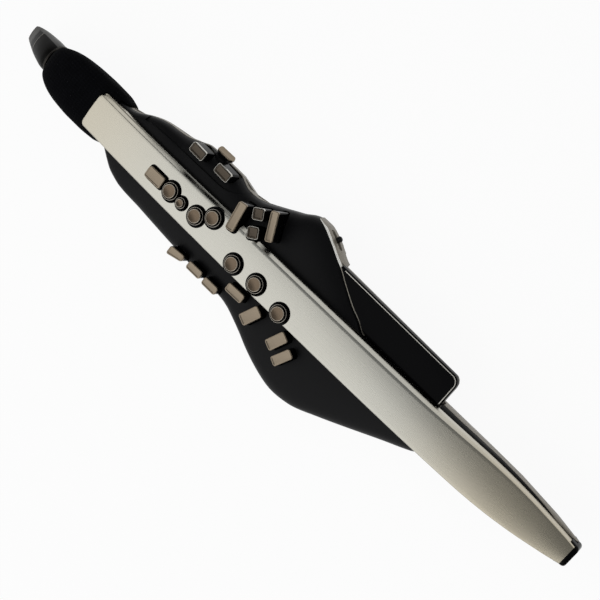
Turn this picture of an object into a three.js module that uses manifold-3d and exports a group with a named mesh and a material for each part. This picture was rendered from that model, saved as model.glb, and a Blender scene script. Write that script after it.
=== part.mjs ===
// Digital wind controller, played like a saxophone: long bowed panel, winged body, beak mouthpiece.
// Millimetres. +X is the viewer's right, +Y points to the mouthpiece, +Z is the front that carries the keys.
// The pieces are laid out from the foot (y = 0) and the crown of the panel (z = 0), and the finished
// group is then set on its back with its origin under the middle of its box.

import * as THREE from 'three';
import { mergeVertices } from 'three/addons/utils/BufferGeometryUtils.js';
import Module from 'manifold-3d';

const wasm = await Module();
wasm.setup();

// Overall stance. What the hands play keeps its distance to the mouthpiece, and the tail takes up the rest.
const bodyLength = 574;
const beakLength = 36.9;
const ringLength = 1.8;
const headLength = 80;
const wingLength = 338;
const wingTuck = 1;
const panelTuck = 19;
const neckTuck = 25;
const seatGap = 0.3;
const cutOverrun = 3;
const beakFootY = bodyLength - beakLength;
const headTopY = beakFootY - ringLength - seatGap;
const headFootY = headTopY - headLength;
const wingNeckY = headFootY + wingTuck;
const wingFootY = wingNeckY - wingLength;
const placeY = (alongShare) => wingFootY + alongShare * wingLength;
const crownShare = 0.4497;
const crownY = placeY(crownShare);

// Front panel: a shallow channel that bows back towards both ends
const panelTopY = headFootY + panelTuck;
const panelFootY = 3.8;
const panelHalfWidth = 16.3;
const panelHeight = 9;
const panelWall = 1.5;
const panelEdgeRadius = 1.8;
const headDrop = 7.8;
const footDrop = 23;
const bowPower = 2.9;
const panelTopCornerRadius = 3;

// Casings
const caseWall = 2.2;
const caseMargin = 1.5;
const neckTopY = headFootY + neckTuck;
const neckHalfWidth = 17.6;
const leftReach = 64.7;
const rightReach = 55.3;
const bandDepth = 26;
const footBandDepth = 15;
const rearDepth = 44;
const footRearDepth = 23.5;
const spineWall = 2;
const caseEndWall = 3;
const wellClearance = 1.5;
const keyClearance = 0.5;

// Side bay with its glossy lid, and the battery room behind it
const bayStart = 13.5;
const bayLength = 118.5;
const bayFootY = wingFootY + bayStart;
const bayHeadY = bayFootY + bayLength;
const bayInnerX = 10;
const bayHeadX = 42.6;
const bayFootX = 40.4;
const bayCornerRadius = 7;
const bayLidTopDepth = 12.4;
const bayLidHeight = 5;
const bayLidWall = 2;
const bayLidRim = 3.4;
const restDepth = 68;
const bayWall = 2.4;
const bayBackRadius = 3.5;
const hullInnerX = -18;
const hullLength = 132.5;
const hullHeadY = bayFootY + hullLength;
const hullDraw = 15;
const hullRimDraw = 1;
const hullRimDepth = 24;
const trimInset = 1;
const trimWidth = 1;
const trimHeight = 1.4;
const cellRadius = 7.1;
const cellLength = 49.5;
const cellNubRadius = 2.7;
const cellNubHeight = 1;
const batteryCoverWidth = 31;
const batteryCoverLength = 104;
const batteryCoverThickness = 2.4;

// Finger keys
const keyTravel = 1.8;
const keyRise = 4;
const fingerKeyRadius = 7;
const fingerPadRadius = 5.6;
const smallKeyRadius = 4.4;
const smallPadRadius = 3;
const keyWall = 1.4;
const keyRoof = 2.2;
const keyStep = 1.7;
const keyReach = 17;
const keyCornerRadius = 1.8;
const keyChamfer = 0.7;
const barKeyLength = 16.2;
const keySides = 16;

// Head and mouthpiece
const headHalfWidth = 22.6;
const headFrontDepth = 10.5;
const headWidestDepth = 22;
const headRearDepth = 46;
const beakRootRadius = 12.6;
const beakRootDepth = 33;
const beakTipDepth = 44;
const beakTipHalfWidth = 6.4;
const beakTipHalfDepth = 1.7;
const tenonRadius = 8.4;
const airBoreRadius = 4;
const airRadius = 2.6;
const airDepth = 33.5;
const tenonLength = 24;
const tenonShoulder = 1;
const tenonFootY = headTopY - tenonLength;
const headGrowth = 0.35;
const headOverlap = 1;
const airSides = 10;

const colours = {
  panelSilver: 0xc6c3b8,
  satinBlack: 0x17171a,
  glossBlack: 0x0b0b0c,
  caseGrey: 0x8b857a,
  softBlack: 0x101012,
  beakGrey: 0x4a463f,
  beakBlack: 0x1a1a1b,
  chrome: 0xcfcfcf,
  nickel: 0x7d7366,
  boardGreen: 0x1f5a38,
  rubberGrey: 0x6f7072,
  steel: 0xa8a8a8,
  cellBlue: 0x35507a,
  glassDark: 0x10151a,
  tubeClear: 0xb9bfc2,
};

const finish = {
  panel: { color: colours.panelSilver, roughness: 0.35, metalness: 0.85 },
  satin: { color: colours.satinBlack, roughness: 0.5, metalness: 0 },
  gloss: { color: colours.glossBlack, roughness: 0.12, metalness: 0 },
  grey: { color: colours.caseGrey, roughness: 0.45, metalness: 0.3 },
  soft: { color: colours.softBlack, roughness: 0.95, metalness: 0 },
  beak: { color: colours.beakBlack, roughness: 0.3, metalness: 0 },
  beakTip: { color: colours.beakGrey, roughness: 0.3, metalness: 0 },
  chrome: { color: colours.chrome, roughness: 0.15, metalness: 1 },
  nickel: { color: colours.nickel, roughness: 0.35, metalness: 0.9 },
  board: { color: colours.boardGreen, roughness: 0.6, metalness: 0 },
  rubber: { color: colours.rubberGrey, roughness: 0.9, metalness: 0 },
  steel: { color: colours.steel, roughness: 0.35, metalness: 0.9 },
  cell: { color: colours.cellBlue, roughness: 0.4, metalness: 0.2 },
  glass: { color: colours.glassDark, roughness: 0.08, metalness: 0 },
  tube: { color: colours.tubeClear, roughness: 0.4, metalness: 0 },
};

// Solid helpers

function solidOf(geometry) {
  const bare = new THREE.BufferGeometry();
  bare.setAttribute('position', geometry.getAttribute('position').clone());
  if (geometry.index) bare.setIndex(geometry.index.clone());
  const merged = mergeVertices(bare);
  const mesh = new wasm.Mesh({
    numProp: 3,
    vertProperties: new Float32Array(merged.getAttribute('position').array),
    triVerts: new Uint32Array(merged.index.array),
  });
  return new wasm.Manifold(mesh);
}

function geometryOf(solid) {
  const mesh = solid.getMesh();
  const geometry = new THREE.BufferGeometry();
  geometry.setAttribute('position', new THREE.BufferAttribute(new Float32Array(mesh.vertProperties), 3));
  geometry.setIndex(new THREE.BufferAttribute(new Uint32Array(mesh.triVerts), 1));
  return geometry;
}

// Turns the faces of a closed geometry outwards
function outward(geometry) {
  const position = geometry.getAttribute('position');
  const pointAt = (_, i) => new THREE.Vector3().fromBufferAttribute(position, i);
  const points = Array.from({ length: position.count }, pointAt);
  const triangles = Array.from(geometry.index.array);
  if (signedVolume(points, triangles) < 0) geometry.setIndex(triangles.reverse());
  return geometry;
}

function signedVolume(points, triangles) {
  let sum = 0;
  for (let i = 0; i < triangles.length; i += 3) {
    const [a, b, c] = [points[triangles[i]], points[triangles[i + 1]], points[triangles[i + 2]]];
    sum += a.dot(b.clone().cross(c));
  }
  return sum;
}

// Skins a row of rings that have equally many points, and closes both ends. A ring is a list of
// Vector3, and flat says how its points are seen when an end is triangulated.
function skin(rings, flat) {
  const count = rings[0].length;
  const points = rings.flat();
  const triangles = [];
  for (let r = 0; r + 1 < rings.length; r += 1) {
    for (let i = 0; i < count; i += 1) {
      const j = (i + 1) % count;
      const [a, b, c, d] = [r * count + i, r * count + j, (r + 1) * count + j, (r + 1) * count + i];
      triangles.push(a, b, c, a, c, d);
    }
  }
  const start = (rings.length - 1) * count;
  const backwards = THREE.ShapeUtils.isClockWise(rings[0].map(flat));
  for (const [a, b, c] of THREE.ShapeUtils.triangulateShape(rings[0].map(flat), [])) {
    triangles.push(...(backwards ? [a, b, c] : [c, b, a]));
  }
  for (const [a, b, c] of THREE.ShapeUtils.triangulateShape(rings[rings.length - 1].map(flat), [])) {
    triangles.push(...(backwards ? [start + c, start + b, start + a] : [start + a, start + b, start + c]));
  }
  if (signedVolume(points, triangles) < 0) triangles.reverse();
  const geometry = new THREE.BufferGeometry();
  geometry.setFromPoints(points);
  geometry.setIndex(triangles);
  return geometry;
}

const seenAlongY = (point) => new THREE.Vector2(point.x, -point.z);
const seenAlongZ = (point) => new THREE.Vector2(point.x, point.y);

// Smooth value between hand-chosen pairs of place and value, flat beyond the ends
function smoothTable(pairs) {
  const slope = pairs.map((pair, i) => {
    if (i === 0 || i === pairs.length - 1) return 0;
    const [before, after] = [pairs[i - 1], pairs[i + 1]];
    const rising = (pair[1] - before[1]) * (after[1] - pair[1]) > 0;
    return rising ? (after[1] - before[1]) / (after[0] - before[0]) : 0;
  });
  return (place) => {
    if (place <= pairs[0][0]) return pairs[0][1];
    const last = pairs.length - 1;
    if (place >= pairs[last][0]) return pairs[last][1];
    let i = 0;
    while (place > pairs[i + 1][0]) i += 1;
    const step = pairs[i + 1][0] - pairs[i][0];
    const t = (place - pairs[i][0]) / step;
    const rise = pairs[i + 1][1] - pairs[i][1];
    const bend = slope[i] * step * t * (1 - t) * (1 - t) - slope[i + 1] * step * t * t * (1 - t);
    return pairs[i][1] + rise * t * t * (3 - 2 * t) + bend;
  };
}

// Rounded rectangle as a list of points, counter-clockwise, centred
function roundedOutline(width, length, radius, cornerSteps) {
  const points = [];
  const centres = [[1, 1], [-1, 1], [-1, -1], [1, -1]];
  centres.forEach(([sx, sy], corner) => {
    for (let i = 0; i <= cornerSteps; i += 1) {
      const angle = (corner + i / cornerSteps) * Math.PI / 2;
      points.push(new THREE.Vector2(
        sx * (width / 2 - radius) + radius * Math.cos(angle),
        sy * (length / 2 - radius) + radius * Math.sin(angle),
      ));
    }
  });
  return points;
}

// Straight prism of a flat outline between two heights
function prism(outline, low, high) {
  const ring = (z) => outline.map((point) => new THREE.Vector3(point.x, point.y, z));
  return skin([ring(low), ring(high)], seenAlongZ);
}

// Round bar along +Z between two heights
function roundBar(radius, low, high, sides = keySides) {
  const geometry = new THREE.CylinderGeometry(radius, radius, high - low, sides);
  geometry.rotateX(Math.PI / 2);
  geometry.translate(0, 0, (low + high) / 2);
  return geometry;
}

function turned(profile, sides = keySides) {
  const geometry = new THREE.LatheGeometry(profile.map(([r, z]) => new THREE.Vector2(r, z)), sides);
  geometry.rotateX(Math.PI / 2);
  return outward(geometry);
}

function block(width, length, low, high) {
  const geometry = new THREE.BoxGeometry(width, length, high - low);
  geometry.translate(0, 0, (low + high) / 2);
  return geometry;
}

function union(solids) {
  return solids.reduce((sum, solid) => sum.add(solid));
}

function placed(geometry, x, y, z, turn = 0) {
  const copy = geometry.clone();
  copy.rotateZ(turn);
  copy.translate(x, y, z);
  return copy;
}

const group = new THREE.Group();
const instrument = new THREE.Group();
group.add(instrument);

function addPiece(name, geometry, look) {
  const mesh = new THREE.Mesh(geometry, new THREE.MeshStandardMaterial(look));
  mesh.name = name;
  instrument.add(mesh);
  return mesh;
}

// Lines of the body

function bow(y) {
  const towardsHead = y > crownY;
  const share = towardsHead ? (y - crownY) / (panelTopY - crownY) : (crownY - y) / crownY;
  return -(towardsHead ? headDrop : footDrop) * share ** bowPower;
}

const panelWidthShares = smoothTable([
  [0, 0.44], [0.01, 0.5], [0.027, 0.59], [0.053, 0.7], [0.09, 0.84], [0.135, 0.95], [0.19, 1],
  [0.6, 1], [0.8, 0.96], [1, 0.93],
]);
const panelHalf = (y) => panelHalfWidth * panelWidthShares(y / panelTopY);

// The upper corners of the panel are rounded in plan
const cornerStartY = panelTopY - panelTopCornerRadius;
function cornerInset(y) {
  const past = Math.max(y - cornerStartY, 0);
  return panelTopCornerRadius - Math.sqrt(Math.max(panelTopCornerRadius ** 2 - past ** 2, 0));
}
const panelPlanHalf = (y) => panelHalf(y) - cornerInset(y);
const cornerRowShares = [0, 0.5, 0.87, 1];

// Reach of each wing as shares of its widest reach, along the wing from its foot to the neck
const leftWingShares = smoothTable([
  [0, 0.27], [0.024, 0.36], [0.09, 0.52], [0.178, 0.735], [0.225, 0.845], [0.275, 0.955], [0.312, 0.994],
  [0.334, 1], [0.363, 0.981], [0.399, 0.926], [0.438, 0.842], [0.47, 0.759], [0.509, 0.674], [0.528, 0.64],
  [0.553, 0.615], [0.733, 0.57], [0.85, 0.532], [0.9, 0.506], [0.922, 0.478], [0.943, 0.44],
  [0.967, 0.365], [0.986, 0.3], [1, 0.27],
]);
const rightWingHeadShares = [
  [0.507, 0.953], [0.525, 0.88], [0.542, 0.83], [0.57, 0.745], [0.592, 0.68], [0.61, 0.635], [0.637, 0.61],
  [0.655, 0.61], [0.677, 0.645], [0.695, 0.68], [0.79, 0.675], [0.815, 0.62], [0.84, 0.57], [0.868, 0.54],
  [0.895, 0.522], [0.92, 0.485], [0.946, 0.42], [0.968, 0.35], [0.985, 0.315], [1, 0.31],
];
// The ridge is where the right wing breaks off at the shoulder and runs down to the panel
const ridgeShares = [
  [0.253, 0.278], [0.282, 0.371], [0.309, 0.443], [0.349, 0.584], [0.382, 0.711], [0.402, 0.774],
  [0.423, 0.845], [0.443, 0.905], [0.466, 0.962], [0.491, 0.985],
];
// The wing's own edge lies beyond the ridge by these shares, until both meet at the head of the ridge
const ridgeSwellShares = [1.15, 1.15, 1.15, 1.15, 1.15, 1.15, 1.14, 1.11, 1.07, 1.01];
const rightWingShares = smoothTable([
  ...ridgeShares.map(([along, reach], i) => [along, reach * ridgeSwellShares[i]]),
  ...rightWingHeadShares,
]);
const shoulderShares = smoothTable([
  [0.382, 0.776], [0.393, 0.8], [0.408, 0.853], [0.423, 0.91], [0.458, 0.991], [0.4725, 1],
  ...rightWingHeadShares,
]);
const shoulderFootShare = 0.382;
const wingShare = (y) => (y - wingFootY) / wingLength;
const wingReach = (shares, reach, y) => (y > wingFootY ? reach * shares(wingShare(y)) : 0);
const bodyEdge = (y) => Math.min(panelHalf(y) + caseMargin, neckHalfWidth);
const leftEdge = (y) => Math.max(bodyEdge(y), wingReach(leftWingShares, leftReach, y));
const rightEdge = (y) => Math.max(bodyEdge(y), wingReach(rightWingShares, rightReach, y));

// The grey back follows the same outline, but at the shoulder it runs on to the side bay
const shoulderFootY = placeY(shoulderFootShare);
const rearRightEdge = (y) => {
  if (y >= shoulderFootY) return wingReach(shoulderShares, rightReach, y);
  return bodyEdge(y);
};

const bandDepthShares = smoothTable([[0, 0], [0.1, 0.25], [0.2, 0.6], [0.3, 0.95], [0.36, 1], [1, 1]]);
const neckShares = smoothTable([[0.8, 1], [0.88, 0.85], [0.94, 0.6], [1, 0.45]]);
const depthShare = (y) => bandDepthShares(y / panelTopY) * neckShares(y / panelTopY);
const partingZ = (y) => bow(y) - footBandDepth - (bandDepth - footBandDepth) * depthShare(y);
const rearZ = (y) => bow(y) - footRearDepth - (rearDepth - footRearDepth) * depthShare(y);
const crestZ = (y) => bow(y) - panelHeight - seatGap;

const roundnessShares = smoothTable([
  [0, 6], [0.19, 6], [0.25, 3], [0.5, 3], [0.6, 4], [0.84, 4], [0.9, 6], [1, 6],
]);
const roundness = (y) => roundnessShares(y / panelTopY);
const rearRoundness = 2.4;
const hullRoundness = (front, y) => (front ? roundness(y) : rearRoundness);

// Half of a squared-off ellipse from the left edge over its crest to the right edge
function archRing(y, left, right, edge, crest, power, steps, skirt = 0) {
  const ring = [];
  for (let i = 0; i <= steps; i += 1) {
    const angle = Math.PI * (1 - i / steps);
    const across = Math.sign(Math.cos(angle)) * Math.abs(Math.cos(angle)) ** (2 / power);
    const up = Math.abs(Math.sin(angle)) ** (2 / power);
    const reach = i * 2 < steps ? left : right;
    ring.push(new THREE.Vector3(across * reach, y, edge + (crest - edge) * up));
  }
  if (skirt !== 0) {
    ring.push(new THREE.Vector3(right, y, edge + skirt));
    ring.unshift(new THREE.Vector3(-left, y, edge + skirt));
  }
  return ring;
}

// Rows across the body, along its length, closer where the outline turns
const tailShares = [0.219, 0.511, 0.778, 0.973];
const stationShares = [
  0.014, 0.052, 0.109, 0.169, 0.228, 0.267, 0.305, 0.344, 0.381, 0.408, 0.435, 0.464, 0.494,
  0.527, 0.566, 0.604, 0.644, 0.692, 0.76, 0.806, 0.84, 0.891, 0.93, 0.964, 1,
];
const innerTailShares = [0.219, 0.511, 0.778, 0.973];
const innerStationShares = [
  0.014, 0.109, 0.228, 0.305, 0.381, 0.435, 0.494, 0.566, 0.604, 0.644, 0.76, 0.891, 0.964,
];
const spineTailShares = [0.097, 0.219, 0.365, 0.535, 0.754, 0.973];
const spineStationShares = [0.092, 0.228, 0.449, 0.67, 0.806, 0.908, 0.992];
const alongBody = (tail, wing) => [...tail.map((share) => share * wingFootY), ...wing.map(placeY)];
const stations = [panelFootY, ...alongBody(tailShares, stationShares), neckTopY];
const innerStations = [
  panelFootY + caseEndWall, ...alongBody(innerTailShares, innerStationShares), neckTopY - caseEndWall,
];
const panelStations = alongBody(spineTailShares, spineStationShares);

const archSteps = 12;
const innerArchSteps = 8;

function frontDome(growth, skirt = 0) {
  return solidOf(skin(stations.map((y) => archRing(
    y, leftEdge(y) + growth, rightEdge(y) + growth, partingZ(y), crestZ(y) + growth, roundness(y), archSteps,
    -skirt,
  )), seenAlongY));
}

function rearDome() {
  return solidOf(skin(stations.map((y) => archRing(
    y, leftEdge(y), rearRightEdge(y), partingZ(y) - seatGap, rearZ(y), rearRoundness, archSteps,
  )), seenAlongY));
}

function innerDome(front) {
  const crest = (y) => (front ? crestZ(y) - caseWall : rearZ(y) + caseWall);
  const skirt = front ? -cutOverrun : cutOverrun;
  const right = front ? rightEdge : rearRightEdge;
  return solidOf(skin(innerStations.map((y) => archRing(
    y, leftEdge(y) - caseWall, right(y) - caseWall, partingZ(y), crest(y), hullRoundness(front, y), innerArchSteps,
    skirt,
  )), seenAlongY));
}

// What lies beyond the ridge, towards the side bay, from far below to far above the wing
function beyondRidge(gap) {
  const far = 2 * rightReach;
  const line = ridgeShares.map(([along, reach]) => new THREE.Vector2(
    rightReach * reach + gap, placeY(along),
  ));
  const foot = new THREE.Vector2(line[0].x, bayFootY - seatGap);
  const head = line[line.length - 1].clone();
  return solidOf(prism([
    foot, new THREE.Vector2(far, foot.y), new THREE.Vector2(far, head.y), head, ...line.slice(0, -1).reverse(),
  ], -restDepth, panelHeight));
}

// Channel section of the panel, of the spine below it and of the hollows in both
function channelRing(y, half, top, bottom, radius) {
  const points = [[-half, bottom], [half, bottom]];
  const steps = 3;
  for (let i = 0; i <= steps; i += 1) {
    const angle = i / steps * Math.PI / 2;
    points.push([half - radius + radius * Math.cos(angle), top - radius + radius * Math.sin(angle)]);
  }
  for (let i = 0; i <= steps; i += 1) {
    const angle = (1 + i / steps) * Math.PI / 2;
    points.push([-half + radius + radius * Math.cos(angle), top - radius + radius * Math.sin(angle)]);
  }
  return points.map(([x, z]) => new THREE.Vector3(x, y, z));
}

const spineTopSink = panelWall + seatGap;
const spineHalf = (y) => panelHalf(y) - panelWall - seatGap;

function channel(rows, half, topSink, bottomSink, radius) {
  return solidOf(skin(rows.map((y) => channelRing(
    y, half(y), bow(y) - topSink, bow(y) - bottomSink, radius,
  )), seenAlongY));
}

const cornerRows = cornerRowShares.map((share) => cornerStartY + share * panelTopCornerRadius);
const panelRows = [panelFootY, ...panelStations, ...cornerRows];

// Keys: places along the body and across it as shares, sizes from named lengths

const fingerKeys = [
  { name: 'key_left_index', alongShare: 0.7707, acrossShare: -0.11 },
  { name: 'key_left_middle', alongShare: 0.6897, acrossShare: -0.123 },
  { name: 'key_left_ring', alongShare: 0.6545, acrossShare: 0.387 },
  { name: 'key_right_index', alongShare: 0.5577, acrossShare: -0.515 },
  { name: 'key_right_middle', alongShare: 0.49, acrossShare: -0.46 },
  { name: 'key_right_ring', alongShare: 0.411, acrossShare: -0.675 },
];
const bisKey = { name: 'key_bis', alongShare: 0.7349, acrossShare: -0.172 };

const pinkyRise = -1;
const sideRise = -4;
const palmRise = -3;
const clusterRise = 2;
const barKeyWidths = {
  frontF: 9.4, forkF: 7, trill: 9.2, low: 8.8, lowest: 7.6, longG: 7.4, longB: 6.4, square: 9,
};
const longKeyLength = 22.4;
const sideKeyWidth = 6.4;
const sideKeyLength = 13.9;
const palmKeyWidth = 7.9;
const palmKeyLength = 13.9;
const degree = Math.PI / 180;

const barKeys = [
  { name: 'key_front_f', alongShare: 0.8181, acrossShare: -0.117, width: barKeyWidths.frontF, length: barKeyLength,
    turn: 0, rise: keyRise },
  { name: 'key_g_sharp', alongShare: 0.6141, acrossShare: 1.2, width: longKeyLength, length: barKeyWidths.longG,
    turn: 8.5, rise: keyRise },
  { name: 'key_low_c_sharp', alongShare: 0.5808, acrossShare: 1.93, width: barKeyWidths.square,
    length: barKeyWidths.square, turn: 30, rise: clusterRise },
  { name: 'key_low_b', alongShare: 0.565, acrossShare: 1.153, width: barKeyWidths.square,
    length: barKeyWidths.square, turn: 30, rise: clusterRise },
  { name: 'key_low_b_flat', alongShare: 0.5384, acrossShare: 1.97, width: longKeyLength, length: barKeyWidths.longB,
    turn: 26, rise: keyRise },
  { name: 'key_fork_f_sharp', alongShare: 0.5166, acrossShare: -1.448, width: barKeyWidths.forkF,
    length: barKeyLength, turn: 1, rise: pinkyRise },
  { name: 'key_right_trill', alongShare: 0.4586, acrossShare: -1.706, width: barKeyLength,
    length: barKeyWidths.trill, turn: -24, rise: pinkyRise },
  { name: 'key_e_flat', alongShare: 0.3796, acrossShare: -1.7, width: barKeyLength, length: barKeyWidths.low,
    turn: -24, rise: pinkyRise },
  { name: 'key_low_c', alongShare: 0.3482, acrossShare: -2.074, width: barKeyLength, length: barKeyWidths.lowest,
    turn: -26, rise: pinkyRise },
  { name: 'key_side_upper', alongShare: 0.6793, acrossShare: -2.13, width: sideKeyWidth, length: sideKeyLength,
    turn: 0, rise: sideRise, flareShare: 0.35, leanShare: -0.15 },
  { name: 'key_side_middle', alongShare: 0.6233, acrossShare: -2.074, width: sideKeyWidth, length: sideKeyLength,
    turn: 0, rise: sideRise },
  { name: 'key_side_lower', alongShare: 0.5734, acrossShare: -2.1, width: sideKeyWidth, length: sideKeyLength,
    turn: 0, rise: sideRise },
  { name: 'key_palm_upper', alongShare: 0.7822, acrossShare: 2.01, width: palmKeyWidth, length: palmKeyLength,
    turn: -3, rise: palmRise },
  { name: 'key_palm_lower', alongShare: 0.7067, acrossShare: 2.083, width: palmKeyWidth, length: palmKeyLength,
    turn: -3, rise: palmRise },
];

const keyX = (key) => key.acrossShare * panelHalfWidth;
const keyY = (key) => placeY(key.alongShare);

// Round touch: chrome collar, raised and dished metal pad, hollow below
function roundKey(radius, pad) {
  const dish = 0.45;
  const collarEdge = 0.4;
  const padEdge = 0.5;
  return turned([
    [0, -keyRoof - dish], [radius - keyWall, -keyRoof - dish], [radius - keyWall, -keyRise - keyReach],
    [radius, -keyRise - keyReach], [radius, -keyStep - collarEdge], [radius - collarEdge, -keyStep],
    [pad + collarEdge / 2, -keyStep], [pad, -padEdge], [pad - padEdge, 0], [pad / 2, -dish * 0.8], [0, -dish],
  ]);
}

// Widens an outline towards its upper end and leans it over sideways
function flared(outline, length, flareShare, leanShare) {
  return outline.map((point) => new THREE.Vector2(
    point.x * (1 + flareShare * point.y / length) + leanShare * point.y, point.y,
  ));
}

// Bar touch: rounded rectangle with a chamfered, slightly sunk top, hollow below
function barKey(width, length, depth, flareShare = 0, leanShare = 0) {
  const cornerSteps = 2;
  const sink = 0.25;
  const ring = (inset, z) => flared(roundedOutline(
    width - 2 * inset, length - 2 * inset, Math.max(keyCornerRadius - inset, keyCornerRadius / 3), cornerSteps,
  ), length, flareShare, leanShare).map((point) => new THREE.Vector3(point.x, point.y, z));
  return skin([
    ring(keyWall, -keyRoof), ring(keyWall, -depth), ring(0, -depth), ring(0, -keyChamfer),
    ring(keyChamfer, 0), ring(2 * keyChamfer, -sink),
  ], seenAlongZ);
}

function roundCut(key, radius, low, high) {
  return solidOf(placed(roundBar(radius, low, high), keyX(key), keyY(key), 0));
}

function barCut(key, growth, low, high) {
  const outline = roundedOutline(
    key.width + 2 * growth, key.length + 2 * growth, keyCornerRadius + growth, 2,
  );
  const shaped = flared(outline, key.length, key.flareShare ?? 0, key.leanShare ?? 0);
  return solidOf(placed(prism(shaped, low, high), keyX(key), keyY(key), 0, key.turn * degree));
}

const throughLow = -bandDepth;
const throughHigh = keyRise + cutOverrun;

function keyCuts(growth) {
  const cuts = fingerKeys.map((key) => roundCut(key, fingerKeyRadius + growth, throughLow, throughHigh));
  cuts.push(roundCut(bisKey, smallKeyRadius + growth, throughLow, throughHigh));
  for (const key of barKeys) cuts.push(barCut(key, growth, throughLow, throughHigh));
  return union(cuts);
}

// Outer palm key, turned out towards the palm
const outerPalm = { alongShare: 0.7379, x: 44.1, z: -14, width: 5.4, length: 15, tilt: 52, depth: 3 };
const outerStem = { shift: 2.6, width: 3.4, length: 7, depth: 12 };
const palmPod = { width: 7, length: 10.4, top: 5.4, depth: 14 };
const outerPalmPlace = new THREE.Matrix4().makeTranslation(
  outerPalm.x, placeY(outerPalm.alongShare), outerPalm.z,
).multiply(new THREE.Matrix4().makeRotationY(outerPalm.tilt * degree));

function outerPalmCut(growth) {
  const width = outerStem.width + 2 * growth;
  const length = outerStem.length + 2 * growth;
  const geometry = placed(block(width, length, -bandDepth, keyRise), 0, outerStem.shift, 0);
  geometry.applyMatrix4(outerPalmPlace);
  return solidOf(geometry);
}

// Small boss on the wing that carries the stem of the outer palm key
function outerPalmPod() {
  const outline = roundedOutline(palmPod.width, palmPod.length, keyCornerRadius, 2);
  const geometry = placed(prism(outline, -palmPod.depth, -palmPod.top), 0, outerStem.shift, 0);
  geometry.applyMatrix4(outerPalmPlace);
  return solidOf(geometry);
}

function outerPalmTouch() {
  const cap = barKey(outerPalm.width, outerPalm.length, outerPalm.depth);
  const stem = placed(
    block(outerStem.width, outerStem.length, -outerStem.depth, -keyRoof - keyChamfer), 0, outerStem.shift, 0,
  );
  return geometryOf(solidOf(cap).add(solidOf(stem)));
}

// Front panel
const panelInnerRows = [panelFootY - cutOverrun, ...panelStations, cornerStartY, panelTopY - panelWall];
const halfBelow = (sink) => (y) => panelPlanHalf(Math.max(y, panelFootY)) - sink;
function buildPanel() {
  const outer = channel(panelRows, panelPlanHalf, 0, panelHeight, panelEdgeRadius);
  const inner = channel(
    panelInnerRows, halfBelow(panelWall), panelWall, panelHeight + cutOverrun, panelEdgeRadius / 3,
  );
  return outer.subtract(inner).subtract(keyCuts(wellClearance));
}
addPiece('front_panel', geometryOf(buildPanel()), finish.panel);

// Recess of the palm keys, a step down along the edge of the right wing
const recessDepth = 1.6;
const recessShares = [
  [0.94, 0.36], [0.925, 0.385], [0.885, 0.405], [0.83, 0.414], [0.75, 0.424], [0.69, 0.434], [0.655, 0.52],
  [0.62, 0.66],
];
function palmRecess() {
  const line = recessShares.map(([along, reach]) => new THREE.Vector2(
    rightReach * reach, placeY(along),
  ));
  const far = new THREE.Vector2(rightReach * 2, line[line.length - 1].y);
  const region = prism([...line, far, new THREE.Vector2(far.x, line[0].y)], -restDepth, panelHeight);
  const floor = frontDome(0);
  return solidOf(region).subtract(floor.translate(0, 0, -recessDepth));
}

// Front casing with its raised spine, hollow, with a guide hole for every key
const spineHead = panelTopY - 2 * panelWall;
function buildFrontCase() {
  const spine = channel(
    [panelFootY, ...panelStations, spineHead], spineHalf, spineTopSink, panelHeight + caseWall, panelEdgeRadius / 2,
  );
  const spineHollow = channel(
    [panelFootY + caseEndWall, ...panelStations.slice(1), spineHead - spineWall],
    (y) => spineHalf(y) - spineWall, spineTopSink + spineWall, panelHeight + 2 * caseWall + cutOverrun,
    panelEdgeRadius / 4,
  );
  const wing = frontDome(0).subtract(beyondRidge(0));
  const room = innerDome(true).subtract(beyondRidge(-caseWall));
  return wing.subtract(palmRecess()).add(spine).add(outerPalmPod()).subtract(room).subtract(spineHollow)
    .subtract(keyCuts(keyClearance)).subtract(outerPalmCut(keyClearance));
}
const frontCase = buildFrontCase();
addPiece('front_case', geometryOf(frontCase), finish.satin);

// Keys
for (const key of fingerKeys) {
  const mesh = addPiece(key.name, roundKey(fingerKeyRadius, fingerPadRadius), finish.nickel);
  mesh.position.set(keyX(key), keyY(key), keyRise + bow(keyY(key)));
}
const bis = addPiece(bisKey.name, roundKey(smallKeyRadius, smallPadRadius), finish.nickel);
bis.position.set(keyX(bisKey), keyY(bisKey), keyRise + bow(keyY(bisKey)));
for (const key of barKeys) {
  const geometry = barKey(key.width, key.length, key.rise + keyReach, key.flareShare, key.leanShare);
  const mesh = addPiece(key.name, geometry, finish.nickel);
  mesh.position.set(keyX(key), keyY(key), key.rise + bow(keyY(key)));
  mesh.rotation.z = key.turn * degree;
}
const outerPalmKey = addPiece('key_palm_outer', outerPalmTouch(), finish.nickel);
outerPalmKey.position.setFromMatrixPosition(outerPalmPlace);
outerPalmKey.rotation.y = outerPalm.tilt * degree;

const bayWallX = (y) => bayFootX + (bayHeadX - bayFootX) * (y - bayFootY) / (bayHeadY - bayFootY);

// Side bay: plan outline, shrunk evenly by an inset, and drawn in at its side and foot towards the back
function bayOutline(innerX, inset, headY = bayHeadY, draw = 0) {
  const foot = bayFootY + inset + draw;
  const side = (y) => bayWallX(y) - inset - draw;
  const radius = bayCornerRadius - inset;
  const points = [new THREE.Vector2(innerX + inset, foot)];
  const steps = 4;
  for (let i = 0; i <= steps; i += 1) {
    const angle = (i / steps - 1) * Math.PI / 2;
    points.push(new THREE.Vector2(
      side(foot + radius) - radius + radius * Math.cos(angle), foot + radius + radius * Math.sin(angle),
    ));
  }
  points.push(new THREE.Vector2(side(headY - inset), headY - inset));
  points.push(new THREE.Vector2(innerX + inset, headY - inset));
  return points;
}

const bayLidFootDepth = bayLidTopDepth + bayLidHeight;
const frontClear = frontDome(seatGap, 2 * caseWall).subtract(beyondRidge(seatGap));
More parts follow.
